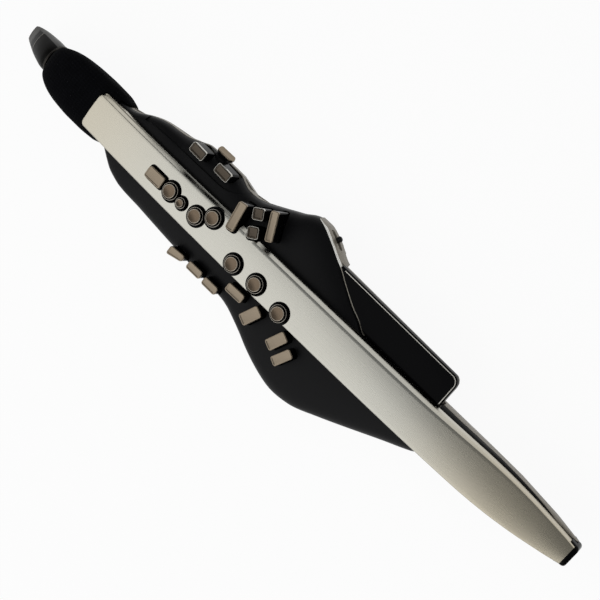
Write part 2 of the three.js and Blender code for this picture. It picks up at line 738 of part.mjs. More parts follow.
// Room that the panel and the spine below it keep free
const spineClear = channel(
  panelRows, (y) => panelHalf(y) + seatGap, -seatGap, panelHeight + caseWall + seatGap, panelEdgeRadius,
);
const trimRing = (grow, low, high) => {
  const outer = solidOf(prism(bayOutline(bayInnerX, trimInset - grow), low, high));
  const inner = solidOf(prism(
    bayOutline(bayInnerX, trimInset + trimWidth + grow), low - cutOverrun, high + cutOverrun,
  ));
  const keptHead = bayHeadY - bayCornerRadius + grow;
  const headCut = solidOf(placed(
    block(4 * bayHeadX, bayCornerRadius * 4, -restDepth, panelHeight), 0, keptHead + bayCornerRadius * 2, 0,
  ));
  return outer.subtract(inner).subtract(headCut);
};

function buildBayLid() {
  const chamfer = 0.8;
  const ring = (inset, z) => bayOutline(bayInnerX, inset).map((point) => new THREE.Vector3(point.x, point.y, z));
  const body = solidOf(skin([
    ring(0, -bayLidFootDepth), ring(0, -bayLidTopDepth - chamfer), ring(chamfer, -bayLidTopDepth),
  ], seenAlongZ));
  const hollow = solidOf(prism(
    bayOutline(bayInnerX, bayLidRim), -bayLidFootDepth - cutOverrun, -bayLidTopDepth - bayLidWall,
  ));
  const groove = trimRing(seatGap, -bayLidTopDepth - trimHeight - seatGap, -bayLidTopDepth + cutOverrun);
  const headCut = solidOf(placed(
    block(4 * bayHeadX, bayCornerRadius * 2, -restDepth, panelHeight),
    0, shoulderFootY - seatGap + bayCornerRadius, 0,
  ));
  return body.subtract(hollow).subtract(groove).subtract(headCut).subtract(spineClear).intersect(beyondRidge(seatGap));
}
addPiece('bay_lid', geometryOf(buildBayLid()), finish.gloss);

function buildBayTrim() {
  const whole = trimRing(0, -bayLidTopDepth - trimHeight, -bayLidTopDepth).subtract(spineClear);
  return whole.intersect(beyondRidge(2 * seatGap));
}
addPiece('bay_trim', geometryOf(buildBayTrim()), finish.chrome);

// Rear casing: the grey back, the deep bay, the shoulder wall with its slide switch
function bayBox(inset) {
  const back = -restDepth + inset;
  const ring = (draw, shrink, z) => bayOutline(hullInnerX, inset + shrink, hullHeadY, draw).map(
    (point) => new THREE.Vector3(point.x, point.y, z),
  );
  const round = bayBackRadius - inset;
  const cornerShare = 0.3;
  return solidOf(skin([
    ring(0, 0, -bayLidFootDepth - seatGap), ring(hullRimDraw, 0, -hullRimDepth), ring(hullDraw, 0, back + round),
    ring(hullDraw, round * cornerShare, back + round * cornerShare), ring(hullDraw, round, back),
  ], seenAlongZ));
}

const shoulderTopDepth = 17;
const shoulderFootDepth = 27;
const shoulderLean = 1;
const shoulderLineShares = [shoulderFootShare, 0.393, 0.408, 0.423, 0.44, 0.458];
function shoulderBlock() {
  const low = shoulderLineShares.map((along) => new THREE.Vector2(
    rightReach * shoulderShares(along), placeY(along),
  ));
  const inner = low.map((point) => new THREE.Vector2(point.x - bayCornerRadius, point.y)).reverse();
  const top = low.map((point) => new THREE.Vector2(point.x - shoulderLean, point.y + shoulderLean / 2));
  const ring = (points, z) => [...points, ...inner].map((point) => new THREE.Vector3(point.x, point.y, z));
  return solidOf(skin([ring(low, -shoulderFootDepth), ring(top, -shoulderTopDepth)], seenAlongZ));
}

// Slide switch on the shoulder wall
const slide = {
  alongShare: 0.431, depth: 21, slotLength: 13.6, slotWidth: 3.2, slotDepth: 1.5, nubRadius: 2.2, nubLength: 3.6,
  stemShare: 1.5, nubEdge: 0.8, nubFoot: 0.6, inset: 0.5, footShare: 0.408, headShare: 0.458,
};
const slideY = placeY(slide.alongShare);
const slideTurn = Math.atan2(
  rightReach * (shoulderShares(slide.headShare) - shoulderShares(slide.footShare)),
  (slide.headShare - slide.footShare) * wingLength,
);
const slideX = rightReach * shoulderShares(slide.alongShare) - slide.inset;

// Rear controls: places as shares of the length of the wings, on the middle line unless said otherwise
const octave = { width: 18, length: 6.6, proud: 2.4, travel: 1.4, shares: [0.7581, 0.7344, 0.6494, 0.6257] };
const octaveNames = ['octave_up_far', 'octave_up_near', 'octave_down_near', 'octave_down_far'];
const thumbRest = { alongShare: 0.6919, radius: 8.5, proud: 2.2, dish: 0.8 };
const lever = {
  alongShare: 0.5594, x: 0, width: 13, length: 15, proud: 3, sink: 7, edge: 0.6, radius: 2, pinRadius: 1.6,
  pinReach: 2, rise: 4.067,
};
const hook = { clearance: 3.5, width: 18, length: 24, plate: 2.6, wall: 3, lip: 16 };
const ring = {
  alongShare: 0.59, x: -15, width: 11, length: 18, plate: 2.4, eyeRadius: 5, eyeWall: 2.4, eyeThick: 3,
  eyeSink: 0.6, corner: 2,
};
const display = {
  alongShare: 0.3387, x: -33, width: 24, length: 13, glass: 1.5, sink: 1.2, corner: 1.2,
};
const button = { alongShare: 0.2707, radius: 3, proud: 0.9, depth: 5, xs: [-39, -27] };
const buttonNames = ['button_menu', 'button_enter'];
const speaker = {
  alongShare: 0.6, radius: 9.5, lift: 2.7, depth: 8, slotWidth: 1.6, slotPitch: 3.6, slots: 5,
  shorterShare: 1.2,
};
const innerFootY = panelFootY + caseEndWall;
const speakerY = innerFootY + speaker.alongShare * (bayFootY - innerFootY);
const phones = { alongShare: 0.2283, depth: 32, radius: 5.4, bore: 3.2, length: 14 };
const inlet = { alongShare: 0.1654, depth: 32, radius: 4.9, bore: 3.1, length: 12 };
const usb = {
  alongShare: 0.0992, depth: 32, width: 12.4, height: 11.2, bore: 7.9, boreHeight: 7.2, length: 12, radius: 1,
};

const batteryX = (hullInnerX + bayWallX(bayFootY) - hullDraw) / 2;
const batteryY = (bayFootY + hullDraw + hullHeadY) / 2;

// Height of the back at a place in plan
function rearSurfaceZ(x, y) {
  const across = Math.abs(x) / (x < 0 ? leftEdge(y) : rearRightEdge(y));
  return partingZ(y) + (rearZ(y) - partingZ(y)) * (1 - across ** rearRoundness) ** (1 / rearRoundness);
}

// A place on the sloping back of the left wing: +Z of the place points into the body
function rearPlace(x, alongShare, sink) {
  const y = placeY(alongShare);
  const slope = Math.atan2(rearSurfaceZ(x + seatGap, y) - rearSurfaceZ(x - seatGap, y), 2 * seatGap);
  return new THREE.Matrix4().makeTranslation(x, y, rearSurfaceZ(x, y))
    .multiply(new THREE.Matrix4().makeRotationY(-slope))
    .multiply(new THREE.Matrix4().makeTranslation(0, 0, sink));
}
const displayPlace = rearPlace(display.x, display.alongShare, display.sink);
const buttonPlaces = button.xs.map((x) => rearPlace(x, button.alongShare, 0));

// Sockets stand proud of the drawn-in side wall by this much
const socketProud = 0.8;
function hullWallX(y, depth) {
  const share = (depth - hullRimDepth) / (restDepth - bayBackRadius - hullRimDepth);
  return bayWallX(y) - hullRimDraw - (hullDraw - hullRimDraw) * share + socketProud;
}

// Cylinder that points out of the side wall of the bay at a place along the body
function sideBar(spec, radius, from, to) {
  const y = placeY(spec.alongShare);
  const geometry = roundBar(radius, from, to);
  geometry.rotateY(Math.PI / 2);
  geometry.translate(hullWallX(y, spec.depth), y, -spec.depth);
  return geometry;
}

function sideSlab(spec, width, height, radius, from, to) {
  const y = placeY(spec.alongShare);
  const geometry = prism(roundedOutline(height, width, radius, 2), from, to);
  geometry.rotateY(Math.PI / 2);
  geometry.translate(hullWallX(y, spec.depth), y, -spec.depth);
  return geometry;
}

function slotBar(width, length, low, high) {
  return prism(roundedOutline(width, length, width / 2 * 0.98, 3), low, high);
}

function rearCuts() {
  const cuts = [];
  for (const share of octave.shares) {
    const outline = roundedOutline(
      octave.width + 2 * keyClearance, octave.length + 2 * keyClearance, octave.length / 3, 2,
    );
    cuts.push(solidOf(placed(prism(outline, -restDepth, -bandDepth), 0, placeY(share), 0)));
  }
  const leverRoom = block(
    lever.width + 2 * keyClearance, lever.length + 4 * keyTravel, -restDepth, -bandDepth,
  );
  cuts.push(solidOf(placed(leverRoom, lever.x, placeY(lever.alongShare), 0)));
  for (const place of buttonPlaces) {
    const hole = roundBar(button.radius + seatGap, -cutOverrun, 2 * caseWall);
    hole.applyMatrix4(place);
    cuts.push(solidOf(hole));
  }
  const screen = block(
    display.width + 2 * seatGap, display.length + 2 * seatGap, -cutOverrun, display.glass + seatGap,
  );
  screen.applyMatrix4(displayPlace);
  cuts.push(solidOf(screen));
  for (let i = 0; i < speaker.slots; i += 1) {
    const across = (i - (speaker.slots - 1) / 2) * speaker.slotPitch;
    const slot = slotBar(
      speaker.slotWidth, speaker.radius * 2 - Math.abs(across) * speaker.shorterShare, -restDepth, -2 * footBandDepth,
    );
    cuts.push(solidOf(placed(slot, across, speakerY, 0)));
  }
  cuts.push(solidOf(sideBar(phones, phones.radius + seatGap, -phones.length, cutOverrun)));
  cuts.push(solidOf(sideBar(inlet, inlet.radius + seatGap, -inlet.length, cutOverrun)));
  cuts.push(solidOf(sideSlab(
    usb, usb.width + 2 * seatGap, usb.height + 2 * seatGap, usb.radius + seatGap, -usb.length, cutOverrun,
  )));
  const slot = slotBar(slide.slotWidth, slide.slotLength, -slide.slotDepth, cutOverrun);
  slot.rotateY(Math.PI / 2);
  slot.rotateZ(-slideTurn);
  slot.translate(slideX, slideY, -slide.depth);
  cuts.push(solidOf(slot));
  const doorway = prism(
    roundedOutline(batteryCoverWidth + 2 * seatGap, batteryCoverLength + 2 * seatGap, bayBackRadius / 2, 3),
    -restDepth - cutOverrun, -restDepth + 2 * bayWall,
  );
  cuts.push(solidOf(placed(doorway, batteryX, batteryY, 0)));
  return union(cuts);
}

// Boards and the pegs that carry them
const boardThickness = 1.6;
const matThickness = 1.2;
const matClearance = 2.6;
const matDepth = keyReach + keyTravel + matClearance;
const keyBoardDepth = matDepth + matThickness + seatGap + boardThickness;
const pegRadius = 2;
const pegClearance = 4.5;
// The board lies beside the hull, from a place near its foot to just past the pegs beyond the display
const mainBoard = { width: 22, footShare: 0.182, hullClearance: 0.5, pegInset: 4, lift: 3.25 };
const mainBoardX = hullInnerX - mainBoard.hullClearance - mainBoard.width / 2;
const mainBoardFootY = placeY(mainBoard.footShare);
const displayHeadY = placeY(display.alongShare) + display.length / 2;
const mainBoardHeadY = displayHeadY + pegClearance + pegRadius + mainBoard.pegInset;
const mainBoardLength = mainBoardHeadY - mainBoardFootY;
const mainBoardY = (mainBoardHeadY + mainBoardFootY) / 2;
// Places of the pegs as shares of the wings' length and of their reach to that side
const keyBoardPegShares = [
  [0.317, -0.742], [0.5, -0.464], [0.5, 0.542], [0.642, -0.448], [0.672, 0.434], [0.834, -0.34], [0.834, 0.307],
];

// A peg stands on the inside of the back and ends just below what it carries
function peg(x, y, top) {
  const sides = 10;
  return placed(roundBar(pegRadius, rearSurfaceZ(x, y) + caseWall / 2, top, sides), x, y, 0);
}

// The board lies above the highest place of the back's inside under its four corners
const mainBoardCorners = [[1, 1], [-1, 1], [-1, -1], [1, -1]].map(([sx, sy]) => rearSurfaceZ(
  mainBoardX + sx * mainBoard.width / 2, mainBoardY + sy * mainBoardLength / 2,
));
const mainBoardZ = Math.max(...mainBoardCorners) + caseWall + mainBoard.lift;

function boardPegs() {
  const pegs = keyBoardPegShares.map(([alongShare, acrossShare]) => peg(
    acrossShare * (acrossShare < 0 ? leftReach : rightReach), placeY(alongShare), -keyBoardDepth - seatGap,
  ));
  const reachX = mainBoard.width / 2 - mainBoard.pegInset;
  const reachY = mainBoardLength / 2 - mainBoard.pegInset;
  for (const [sx, sy] of [[1, 1], [-1, 1], [-1, -1], [1, -1]]) {
    pegs.push(peg(mainBoardX + sx * reachX, mainBoardY + sy * reachY, mainBoardZ - seatGap));
  }
  return union(pegs.map(solidOf));
}

function buildRearCase() {
  const bay = bayBox(0).subtract(frontClear).subtract(spineClear);
  const shell = rearDome().add(bay).add(shoulderBlock().subtract(frontClear));
  const bayRoom = bayBox(bayWall).subtract(frontClear);
  const neckHole = solidOf(placed(roundBar(airBoreRadius, 0, 4 * caseEndWall), 0, 0, 0).rotateX(-Math.PI / 2)
    .translate(0, neckTopY - 2 * caseEndWall, -airDepth));
  return shell.subtract(innerDome(false)).subtract(bayRoom).subtract(rearCuts()).subtract(neckHole).add(boardPegs());
}
addPiece('rear_case', geometryOf(buildRearCase()), finish.grey);

function addCover() {
  const plate = solidOf(prism(
    roundedOutline(batteryCoverWidth, batteryCoverLength, bayBackRadius / 2, 3), 0, batteryCoverThickness,
  ));
  const ridges = [];
  const ridgeCount = 5;
  const ridgeWidth = 1.2;
  for (let i = 0; i < ridgeCount; i += 1) {
    const y = batteryCoverLength / 2 - batteryCoverThickness * 3 - i * 2 * ridgeWidth;
    ridges.push(solidOf(placed(
      block(batteryCoverWidth / 2, ridgeWidth, -cutOverrun, batteryCoverThickness / 4), 0, y, 0,
    )));
  }
  const mesh = addPiece('battery_cover', geometryOf(plate.subtract(union(ridges))), finish.grey);
  mesh.position.set(batteryX, batteryY, -restDepth);
}
addCover();

// Four cells lie end to end in two rows behind the battery cover
for (let i = 0; i < 4; i += 1) {
  const row = i % 2 === 0 ? -1 : 1;
  const half = i < 2 ? -1 : 1;
  const cell = turned([
    [0, -cellLength / 2], [cellRadius, -cellLength / 2], [cellRadius, cellLength / 2 - cellNubHeight],
    [cellNubRadius, cellLength / 2 - cellNubHeight], [cellNubRadius, cellLength / 2], [0, cellLength / 2],
  ], 12);
  cell.rotateX(-Math.PI / 2);
  const mesh = addPiece(`battery_cell_${i + 1}`, cell, finish.cell);
  mesh.position.set(
    batteryX + row * (cellRadius + seatGap / 2), batteryY + half * (cellLength + seatGap) / 2,
    -restDepth + batteryCoverThickness + cellRadius + 2 * seatGap,
  );
}

// Octave keys, thumb rest and the rocking thumb lever
octaveNames.forEach((name, i) => {
  const y = placeY(octave.shares[i]);
  const depth = octave.proud + caseWall * 3;
  const geometry = barKey(octave.width, octave.length, depth);
  geometry.rotateY(Math.PI);
  const mesh = addPiece(name, geometry, finish.satin);
  mesh.position.set(0, y, rearZ(y) - octave.proud);
});

const restY = placeY(thumbRest.alongShare);
const restPad = turned([
  [0, 0], [thumbRest.radius, 0], [thumbRest.radius, -thumbRest.proud * 0.6],
  [thumbRest.radius - thumbRest.proud * 0.4, -thumbRest.proud],
  [thumbRest.radius * 0.6, -thumbRest.proud + thumbRest.dish * 0.7],
  [0, -thumbRest.proud + thumbRest.dish],
]);
addPiece('thumb_rest', restPad, finish.rubber).position.set(0, restY, rearZ(restY) - seatGap);

const leverY = placeY(lever.alongShare);
function buildLever() {
  const cornerSteps = 2;
  const ring = (inset, z) => roundedOutline(
    lever.width - 2 * inset, lever.length - 2 * inset, lever.radius, cornerSteps,
  ).map((point) => new THREE.Vector3(point.x, point.y, z));
  const pad = solidOf(skin([
    ring(lever.edge, -lever.proud), ring(0, -lever.proud + lever.edge), ring(0, lever.rise),
  ], seenAlongZ));
  const pinEnd = lever.width / 2 + lever.pinReach;
  const pin = roundBar(lever.pinRadius, -pinEnd, pinEnd, 12);
  pin.rotateY(Math.PI / 2);
  pin.translate(0, 0, lever.rise + lever.pinRadius - lever.edge);
  return pad.add(solidOf(pin));
}
const leverMesh = addPiece('thumb_lever', geometryOf(buildLever()), finish.rubber);
leverMesh.position.set(lever.x, leverY, rearZ(leverY));

// Thumb hook: plate, post and a lip that curls over the thumb
const hookY = hullHeadY + hook.clearance + hook.length / 2;
function buildHook() {
  const base = rearZ(hookY) - seatGap;
  const reach = base + restDepth;
  const half = hook.length / 2;
  const shape = new THREE.Shape();
  shape.moveTo(-half, 0);
  shape.lineTo(half, 0);
  shape.lineTo(half, hook.plate);
  shape.lineTo(half - hook.wall / 2, hook.plate);
  shape.lineTo(half - hook.wall / 2, reach - hook.wall);
  shape.quadraticCurveTo(half - hook.wall / 2, reach, half - 1.5 * hook.wall, reach);
  shape.lineTo(half - hook.lip, reach);
  shape.quadraticCurveTo(half - hook.lip - hook.wall, reach, half - hook.lip - hook.wall, reach - hook.wall);
  shape.lineTo(half - hook.lip, reach - hook.wall);
  shape.lineTo(half - 2.5 * hook.wall, reach - hook.wall);
  shape.quadraticCurveTo(half - 1.5 * hook.wall, reach - hook.wall, half - 1.5 * hook.wall, reach - 2 * hook.wall);
  shape.lineTo(half - 1.5 * hook.wall, hook.plate);
  shape.lineTo(-half, hook.plate);
  shape.closePath();
  const geometry = new THREE.ExtrudeGeometry(shape, { depth: hook.width, bevelEnabled: false, curveSegments: 4 });
  geometry.translate(0, 0, -hook.width / 2);
  geometry.rotateY(-Math.PI / 2);
  geometry.rotateX(-Math.PI / 2);
  return geometry;
}
const hookMesh = addPiece('thumb_hook', geometryOf(solidOf(buildHook())), finish.satin);
hookMesh.position.set(0, hookY, rearZ(hookY) - seatGap);

// Strap ring: an eye that stands on a small plate beside the thumb rest
const ringY = placeY(ring.alongShare);
function buildRing() {
  const outer = ring.eyeRadius + ring.eyeWall;
  const rise = ring.plate + outer - ring.eyeSink;
  const eye = new THREE.Shape();
  eye.absarc(0, 0, outer, 0, 2 * Math.PI, false);
  const hole = new THREE.Path();
  hole.absarc(0, 0, ring.eyeRadius, 0, 2 * Math.PI, true);
  eye.holes.push(hole);
  const geometry = new THREE.ExtrudeGeometry(eye, { depth: ring.eyeThick, bevelEnabled: false, curveSegments: 8 });
  geometry.translate(0, 0, -ring.eyeThick / 2);
  geometry.rotateY(Math.PI / 2);
  geometry.translate(0, 0, -rise);
  const plate = prism(roundedOutline(ring.width, ring.length, ring.corner, 3), -ring.plate, 0);
  return solidOf(geometry).add(solidOf(plate));
}
const ringMesh = addPiece('strap_ring', geometryOf(buildRing()), finish.steel);
const ringZ = rearZ(ringY) - seatGap;
ringMesh.position.set(ring.x, ringY, ringZ);

// Display and its two buttons
const pane = prism(roundedOutline(display.width, display.length, display.corner, 2), 0, display.glass);
pane.applyMatrix4(displayPlace);
addPiece('display_window', pane, finish.glass);
buttonNames.forEach((name, i) => {
  const cap = turned([
    [0, button.depth], [button.radius, button.depth], [button.radius, -button.proud * 0.5],
    [button.radius - button.proud * 0.5, -button.proud], [0, -button.proud],
  ]);
  cap.applyMatrix4(buttonPlaces[i]);
  addPiece(name, cap, finish.satin);
});

// Slide switch nub in its slot on the shoulder
function buildNub() {
  const stemWidth = slide.slotWidth - 2 * seatGap;
  const stem = prism(
    roundedOutline(stemWidth, stemWidth * slide.stemShare, stemWidth / 3, 2),
    -slide.slotDepth + seatGap, slide.nubFoot + slide.nubEdge / 2,
  );
  const knob = turned([
    [0, slide.nubFoot], [slide.nubRadius, slide.nubFoot], [slide.nubRadius, slide.nubLength - slide.nubEdge],
    [slide.nubRadius - slide.nubEdge, slide.nubLength], [0, slide.nubLength],
  ], 12);
  const nub = solidOf(stem).add(solidOf(knob));
  const geometry = geometryOf(nub);
  geometry.rotateY(Math.PI / 2);
  return geometry;
}
const nub = addPiece('slide_switch', buildNub(), finish.satin);
nub.position.set(slideX, slideY, -slide.depth);
nub.rotation.z = -slideTurn;

// Sockets in the side wall of the bay
function socket(spec, sides) {
  const bush = solidOf(sideBar(spec, spec.radius, -spec.length, 0));
  const bore = solidOf(sideBar(spec, spec.bore, -spec.length + bayWall / 2, cutOverrun));
  return geometryOf(bush.subtract(bore));
}
addPiece('phones_socket', socket(phones), finish.satin);
addPiece('power_inlet', socket(inlet), finish.satin);
const usbShell = solidOf(sideSlab(usb, usb.width, usb.height, usb.radius, -usb.length, 0)).subtract(
  solidOf(sideSlab(usb, usb.bore, usb.boreHeight, usb.radius / 3, -usb.length + bayWall / 2, cutOverrun)),
);
addPiece('usb_socket', geometryOf(usbShell), finish.steel);

// Boards, key mat, speaker
const matFootShare = 0.26;
const matHeadShare = 0.87;
const matFoot = placeY(matFootShare);
const matHead = placeY(matHeadShare);
function innerPlan(inset, steps) {
  const points = [];
  for (let i = 0; i <= steps; i += 1) {
    const y = matFoot + (matHead - matFoot) * i / steps;
    points.push(new THREE.Vector2(Math.min(rightEdge(y), rearRightEdge(y)) / ridgeSwellShares[0] - inset, y));
  }
  for (let i = steps; i >= 0; i -= 1) {
    const y = matFoot + (matHead - matFoot) * i / steps;
    points.push(new THREE.Vector2(-leftEdge(y) + inset, y));
  }
  return points;
}
const planSteps = 9;
addPiece('key_mat', prism(innerPlan(3.5 * caseWall, planSteps), -matDepth - matThickness, -matDepth), finish.rubber);
addPiece('key_board', prism(
  innerPlan(3 * caseWall, planSteps), -keyBoardDepth, -keyBoardDepth + boardThickness,
), finish.board);

addPiece('main_board', block(mainBoard.width, mainBoardLength, 0, boardThickness), finish.board)
  .position.set(mainBoardX, mainBoardY, mainBoardZ);

const speakerMesh = addPiece('speaker', turned([
  [0, speaker.depth], [speaker.radius * 0.55, speaker.depth], [speaker.radius * 0.6, speaker.depth * 0.55],
  [speaker.radius, speaker.depth * 0.3], [speaker.radius, 0], [speaker.radius * 0.85, 0],
  [speaker.radius * 0.3, speaker.depth * 0.35], [0, speaker.depth * 0.2],
], 20), finish.satin);
speakerMesh.position.set(0, speakerY, rearZ(speakerY) + caseWall + speaker.lift);
speakerMesh.rotation.x = Math.atan2(
  rearZ(speakerY + speaker.radius) - rearZ(speakerY - speaker.radius), 2 * speaker.radius,
);

// Head cover: soft black sleeve that the neck plugs into
const headShares = [
  [0, 0.9, 0.86], [0.12, 0.97, 0.95], [0.3, 1, 1], [0.5, 0.99, 1], [0.68, 0.94, 0.96], [0.8, 0.86, 0.9],
  [0.9, 0.74, 0.8], [0.96, 0.62, 0.68], [1, 0.5, 0.52],
];
function headRing(y, widthShare, depthShare2) {
  const ring2 = [];
  const sides = 24;
  const half = headHalfWidth * widthShare;
  const power = 2.4;
  for (let i = 0; i < sides; i += 1) {
    const angle = 2 * Math.PI * i / sides;
    const across = Math.sign(Math.cos(angle)) * Math.abs(Math.cos(angle)) ** (2 / power);
    const up = Math.sign(Math.sin(angle)) * Math.abs(Math.sin(angle)) ** (2 / power);
    const front = (headWidestDepth - headFrontDepth) * depthShare2;
    const back = (headRearDepth - headWidestDepth) * depthShare2;
    const lean = (1 - depthShare2) * (beakRootDepth - headWidestDepth);
    ring2.push(new THREE.Vector3(
      across * half, y, -headWidestDepth - lean + up * (up > 0 ? front : back),
    ));
  }
  return ring2;
}
// Four corners of a box's section across the body
const crossBox = (y, half, low, high) => [[-half, low], [half, low], [half, high], [-half, high]].map(
  ([x, z]) => new THREE.Vector3(x, y, z),
);

function buildHead() {
  const outer = solidOf(skin(headShares.map(
    ([along, width, depth]) => headRing(headFootY + along * headLength, width, depth),
  ), seenAlongY));
  const neckRows = [headFootY - cutOverrun, stations[stations.length - 2], neckTopY + headGrowth];
  const neck = solidOf(skin(neckRows.map((y) => {
    const half = neckHalfWidth + headGrowth;
    return crossBox(y, half, rearZ(y) - headGrowth, crestZ(y) + headOverlap);
  }), seenAlongY));
  const panelRoom = solidOf(skin([headFootY - cutOverrun, panelTopY + headGrowth].map((y) => {
    const half = panelHalf(y) + headGrowth;
    return crossBox(y, half, crestZ(y) - headOverlap, cutOverrun);
  }), seenAlongY));
  const bore = roundBar(tenonRadius + seatGap, 0, headTopY - tenonFootY + cutOverrun);
  bore.rotateX(-Math.PI / 2);
  bore.translate(0, tenonFootY, -beakRootDepth);
  const airway = roundBar(airRadius + seatGap, -cutOverrun, tenonFootY - neckTopY + cutOverrun, airSides);
  airway.rotateX(-Math.PI / 2);
  airway.translate(0, neckTopY, -airDepth);
  return outer.subtract(neck).subtract(panelRoom).subtract(solidOf(bore)).subtract(solidOf(airway));
}
addPiece('head_cover', geometryOf(buildHead()), finish.soft);

// Air tube from the mouthpiece to the breath sensor
const sensor = { width: 12, length: 11, height: 6, stand: 2, tubeReach: 1 };
const sensorHeadY = matHead + sensor.stand;
function airTube() {
  const path = new THREE.CatmullRomCurve3([
    new THREE.Vector3(0, sensorHeadY + sensor.tubeReach, -airDepth),
    new THREE.Vector3(0, neckTopY - 4 * caseEndWall, -airDepth),
    new THREE.Vector3(0, tenonFootY - seatGap, -airDepth),
  ]);
  const section = new THREE.Shape();
  section.absarc(0, 0, airRadius, 0, 2 * Math.PI, false);
  return new THREE.ExtrudeGeometry(section, { steps: 10, extrudePath: path, curveSegments: 5 });
}
addPiece('breath_tube', airTube(), finish.tube);
addPiece('breath_sensor', block(sensor.width, sensor.length, -sensor.height / 2, sensor.height / 2), finish.satin)
  .position.set(0, sensorHeadY + sensor.tubeReach - seatGap - sensor.length / 2, -airDepth);

// Mouthpiece: ring, beak with its tenon, grey tip and reed
const beakShares = [
  [0, 1, 1, 0], [0.12, 1, 0.99, 0.06], [0.35, 0.94, 0.84, 0.3], [0.58, 0.85, 0.6, 0.55], [0.78, 0.72, 0.36, 0.78],
  [0.92, 0.6, 0.2, 0.93], [1, 0.51, 0.13, 1],
];
const tipShare = 0.8;
function beakRing(along, width, depth, drop) {
  const sides = 20;
  const y = beakFootY + along * beakLength;
  const centre = -beakRootDepth - drop * (beakTipDepth - beakRootDepth);
  const points = [];
  for (let i = 0; i < sides; i += 1) {
    const angle = 2 * Math.PI * i / sides;
    points.push(new THREE.Vector3(
      beakRootRadius * width * Math.cos(angle), y, centre + beakRootRadius * depth * Math.sin(angle),
    ));
  }
  return points;
}
const beakTipY = beakFootY + tipShare * beakLength;
function beakPart(low, high) {
  const body = solidOf(skin(beakShares.map((row) => beakRing(...row)), seenAlongY));
  const span = block(4 * beakRootRadius, high - low, -2 * restDepth, panelHeight);
  return body.intersect(solidOf(placed(span, 0, (low + high) / 2, 0)));
}
const reed = { width: 13, length: 30, thickness: 2.2, tipThickness: 0.7, sink: 1.4, start: 3, slopeShare: 0.87 };
function reedSolid(grow) {
  const slope = Math.atan2(beakTipDepth - beakRootDepth - beakRootRadius * reed.slopeShare, beakLength);
  const rows = [[0, reed.thickness], [reed.length / 2, reed.thickness], [reed.length, reed.tipThickness]];
  const geometry = skin(rows.map(([y, thick]) => [
    [-reed.width / 2 - grow, grow], [reed.width / 2 + grow, grow],
    [reed.width / 2 + grow, -thick - grow * 8], [-reed.width / 2 - grow, -thick - grow * 8],
  ].map(([x, z]) => new THREE.Vector3(x, y === 0 ? -grow : y + (y === reed.length ? grow : 0), z))), seenAlongY);
  geometry.rotateX(-slope);
  geometry.translate(0, beakFootY + reed.start, -beakRootDepth - beakRootRadius + reed.sink);
  return solidOf(geometry);
}
function buildBeak() {
  const tenon = roundBar(tenonRadius, 0, beakFootY - tenonFootY);
  tenon.rotateX(-Math.PI / 2);
  tenon.translate(0, tenonFootY + seatGap + tenonShoulder, -beakRootDepth);
  const bore = roundBar(airBoreRadius, -cutOverrun, tenonLength, 12);
  bore.rotateX(-Math.PI / 2);
  bore.translate(0, tenonFootY, -beakRootDepth);
  return beakPart(beakFootY, beakTipY).add(solidOf(tenon)).subtract(solidOf(bore)).subtract(reedSolid(seatGap));
}
addPiece('mouthpiece', geometryOf(buildBeak()), finish.beak);
const beakTip = beakPart(beakTipY + seatGap, bodyLength).subtract(reedSolid(seatGap));
addPiece('mouthpiece_tip', geometryOf(beakTip), finish.beakTip);
addPiece('reed', geometryOf(reedSolid(0)), finish.beakTip);
const ringFlank = 0.5;
const ringProud = 0.9;
const collar = turned([
  [tenonRadius + seatGap, 0], [beakRootRadius + ringFlank, 0], [beakRootRadius + ringProud, ringLength / 2],
  [beakRootRadius + ringFlank, ringLength], [tenonRadius + seatGap, ringLength], [tenonRadius + seatGap, 0],
], 24);
collar.rotateX(-Math.PI / 2);
addPiece('mouthpiece_ring', collar, finish.chrome).position.set(0, headTopY + seatGap / 2, -beakRootDepth);

// Foot cap closes the lower end
const capLength = panelFootY - seatGap;
const footCapRadius = 5;
const footCapEdge = 1.2;
function capRing(y, inset) {
  const half = bodyEdge(panelFootY) - inset;
  const top = bow(panelFootY) + seatGap - inset;
  const bottom = rearZ(panelFootY) + inset;
  return roundedOutline(2 * half, top - bottom, footCapRadius - inset, 3)
    .map((point) => new THREE.Vector3(point.x, y, point.y + (top + bottom) / 2));
}
const capRings = [capRing(0, footCapEdge), capRing(footCapEdge, 0), capRing(capLength, 0)];
addPiece('foot_cap', skin(capRings, seenAlongY), finish.gloss);

// The whole is set on its back, with the origin under the middle of its box
group.updateMatrixWorld(true);
const bounds = new THREE.Box3().setFromObject(group);
const middle = bounds.getCenter(new THREE.Vector3());
instrument.position.set(-middle.x, -middle.y, -bounds.min.z);

export default group;
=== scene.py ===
"""Looks of a digital wind controller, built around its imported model.

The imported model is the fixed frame. Every form below is worked out in the plan's millimetres, with y counted
from the foot and z from the crown of the front panel, and is then set into the frame in metres.
"""
import logging
import math
from dataclasses import dataclass
from enum import Enum
from typing import Callable, Optional, Sequence, Union

import bmesh
import bpy
from mathutils import Matrix, Vector, noise


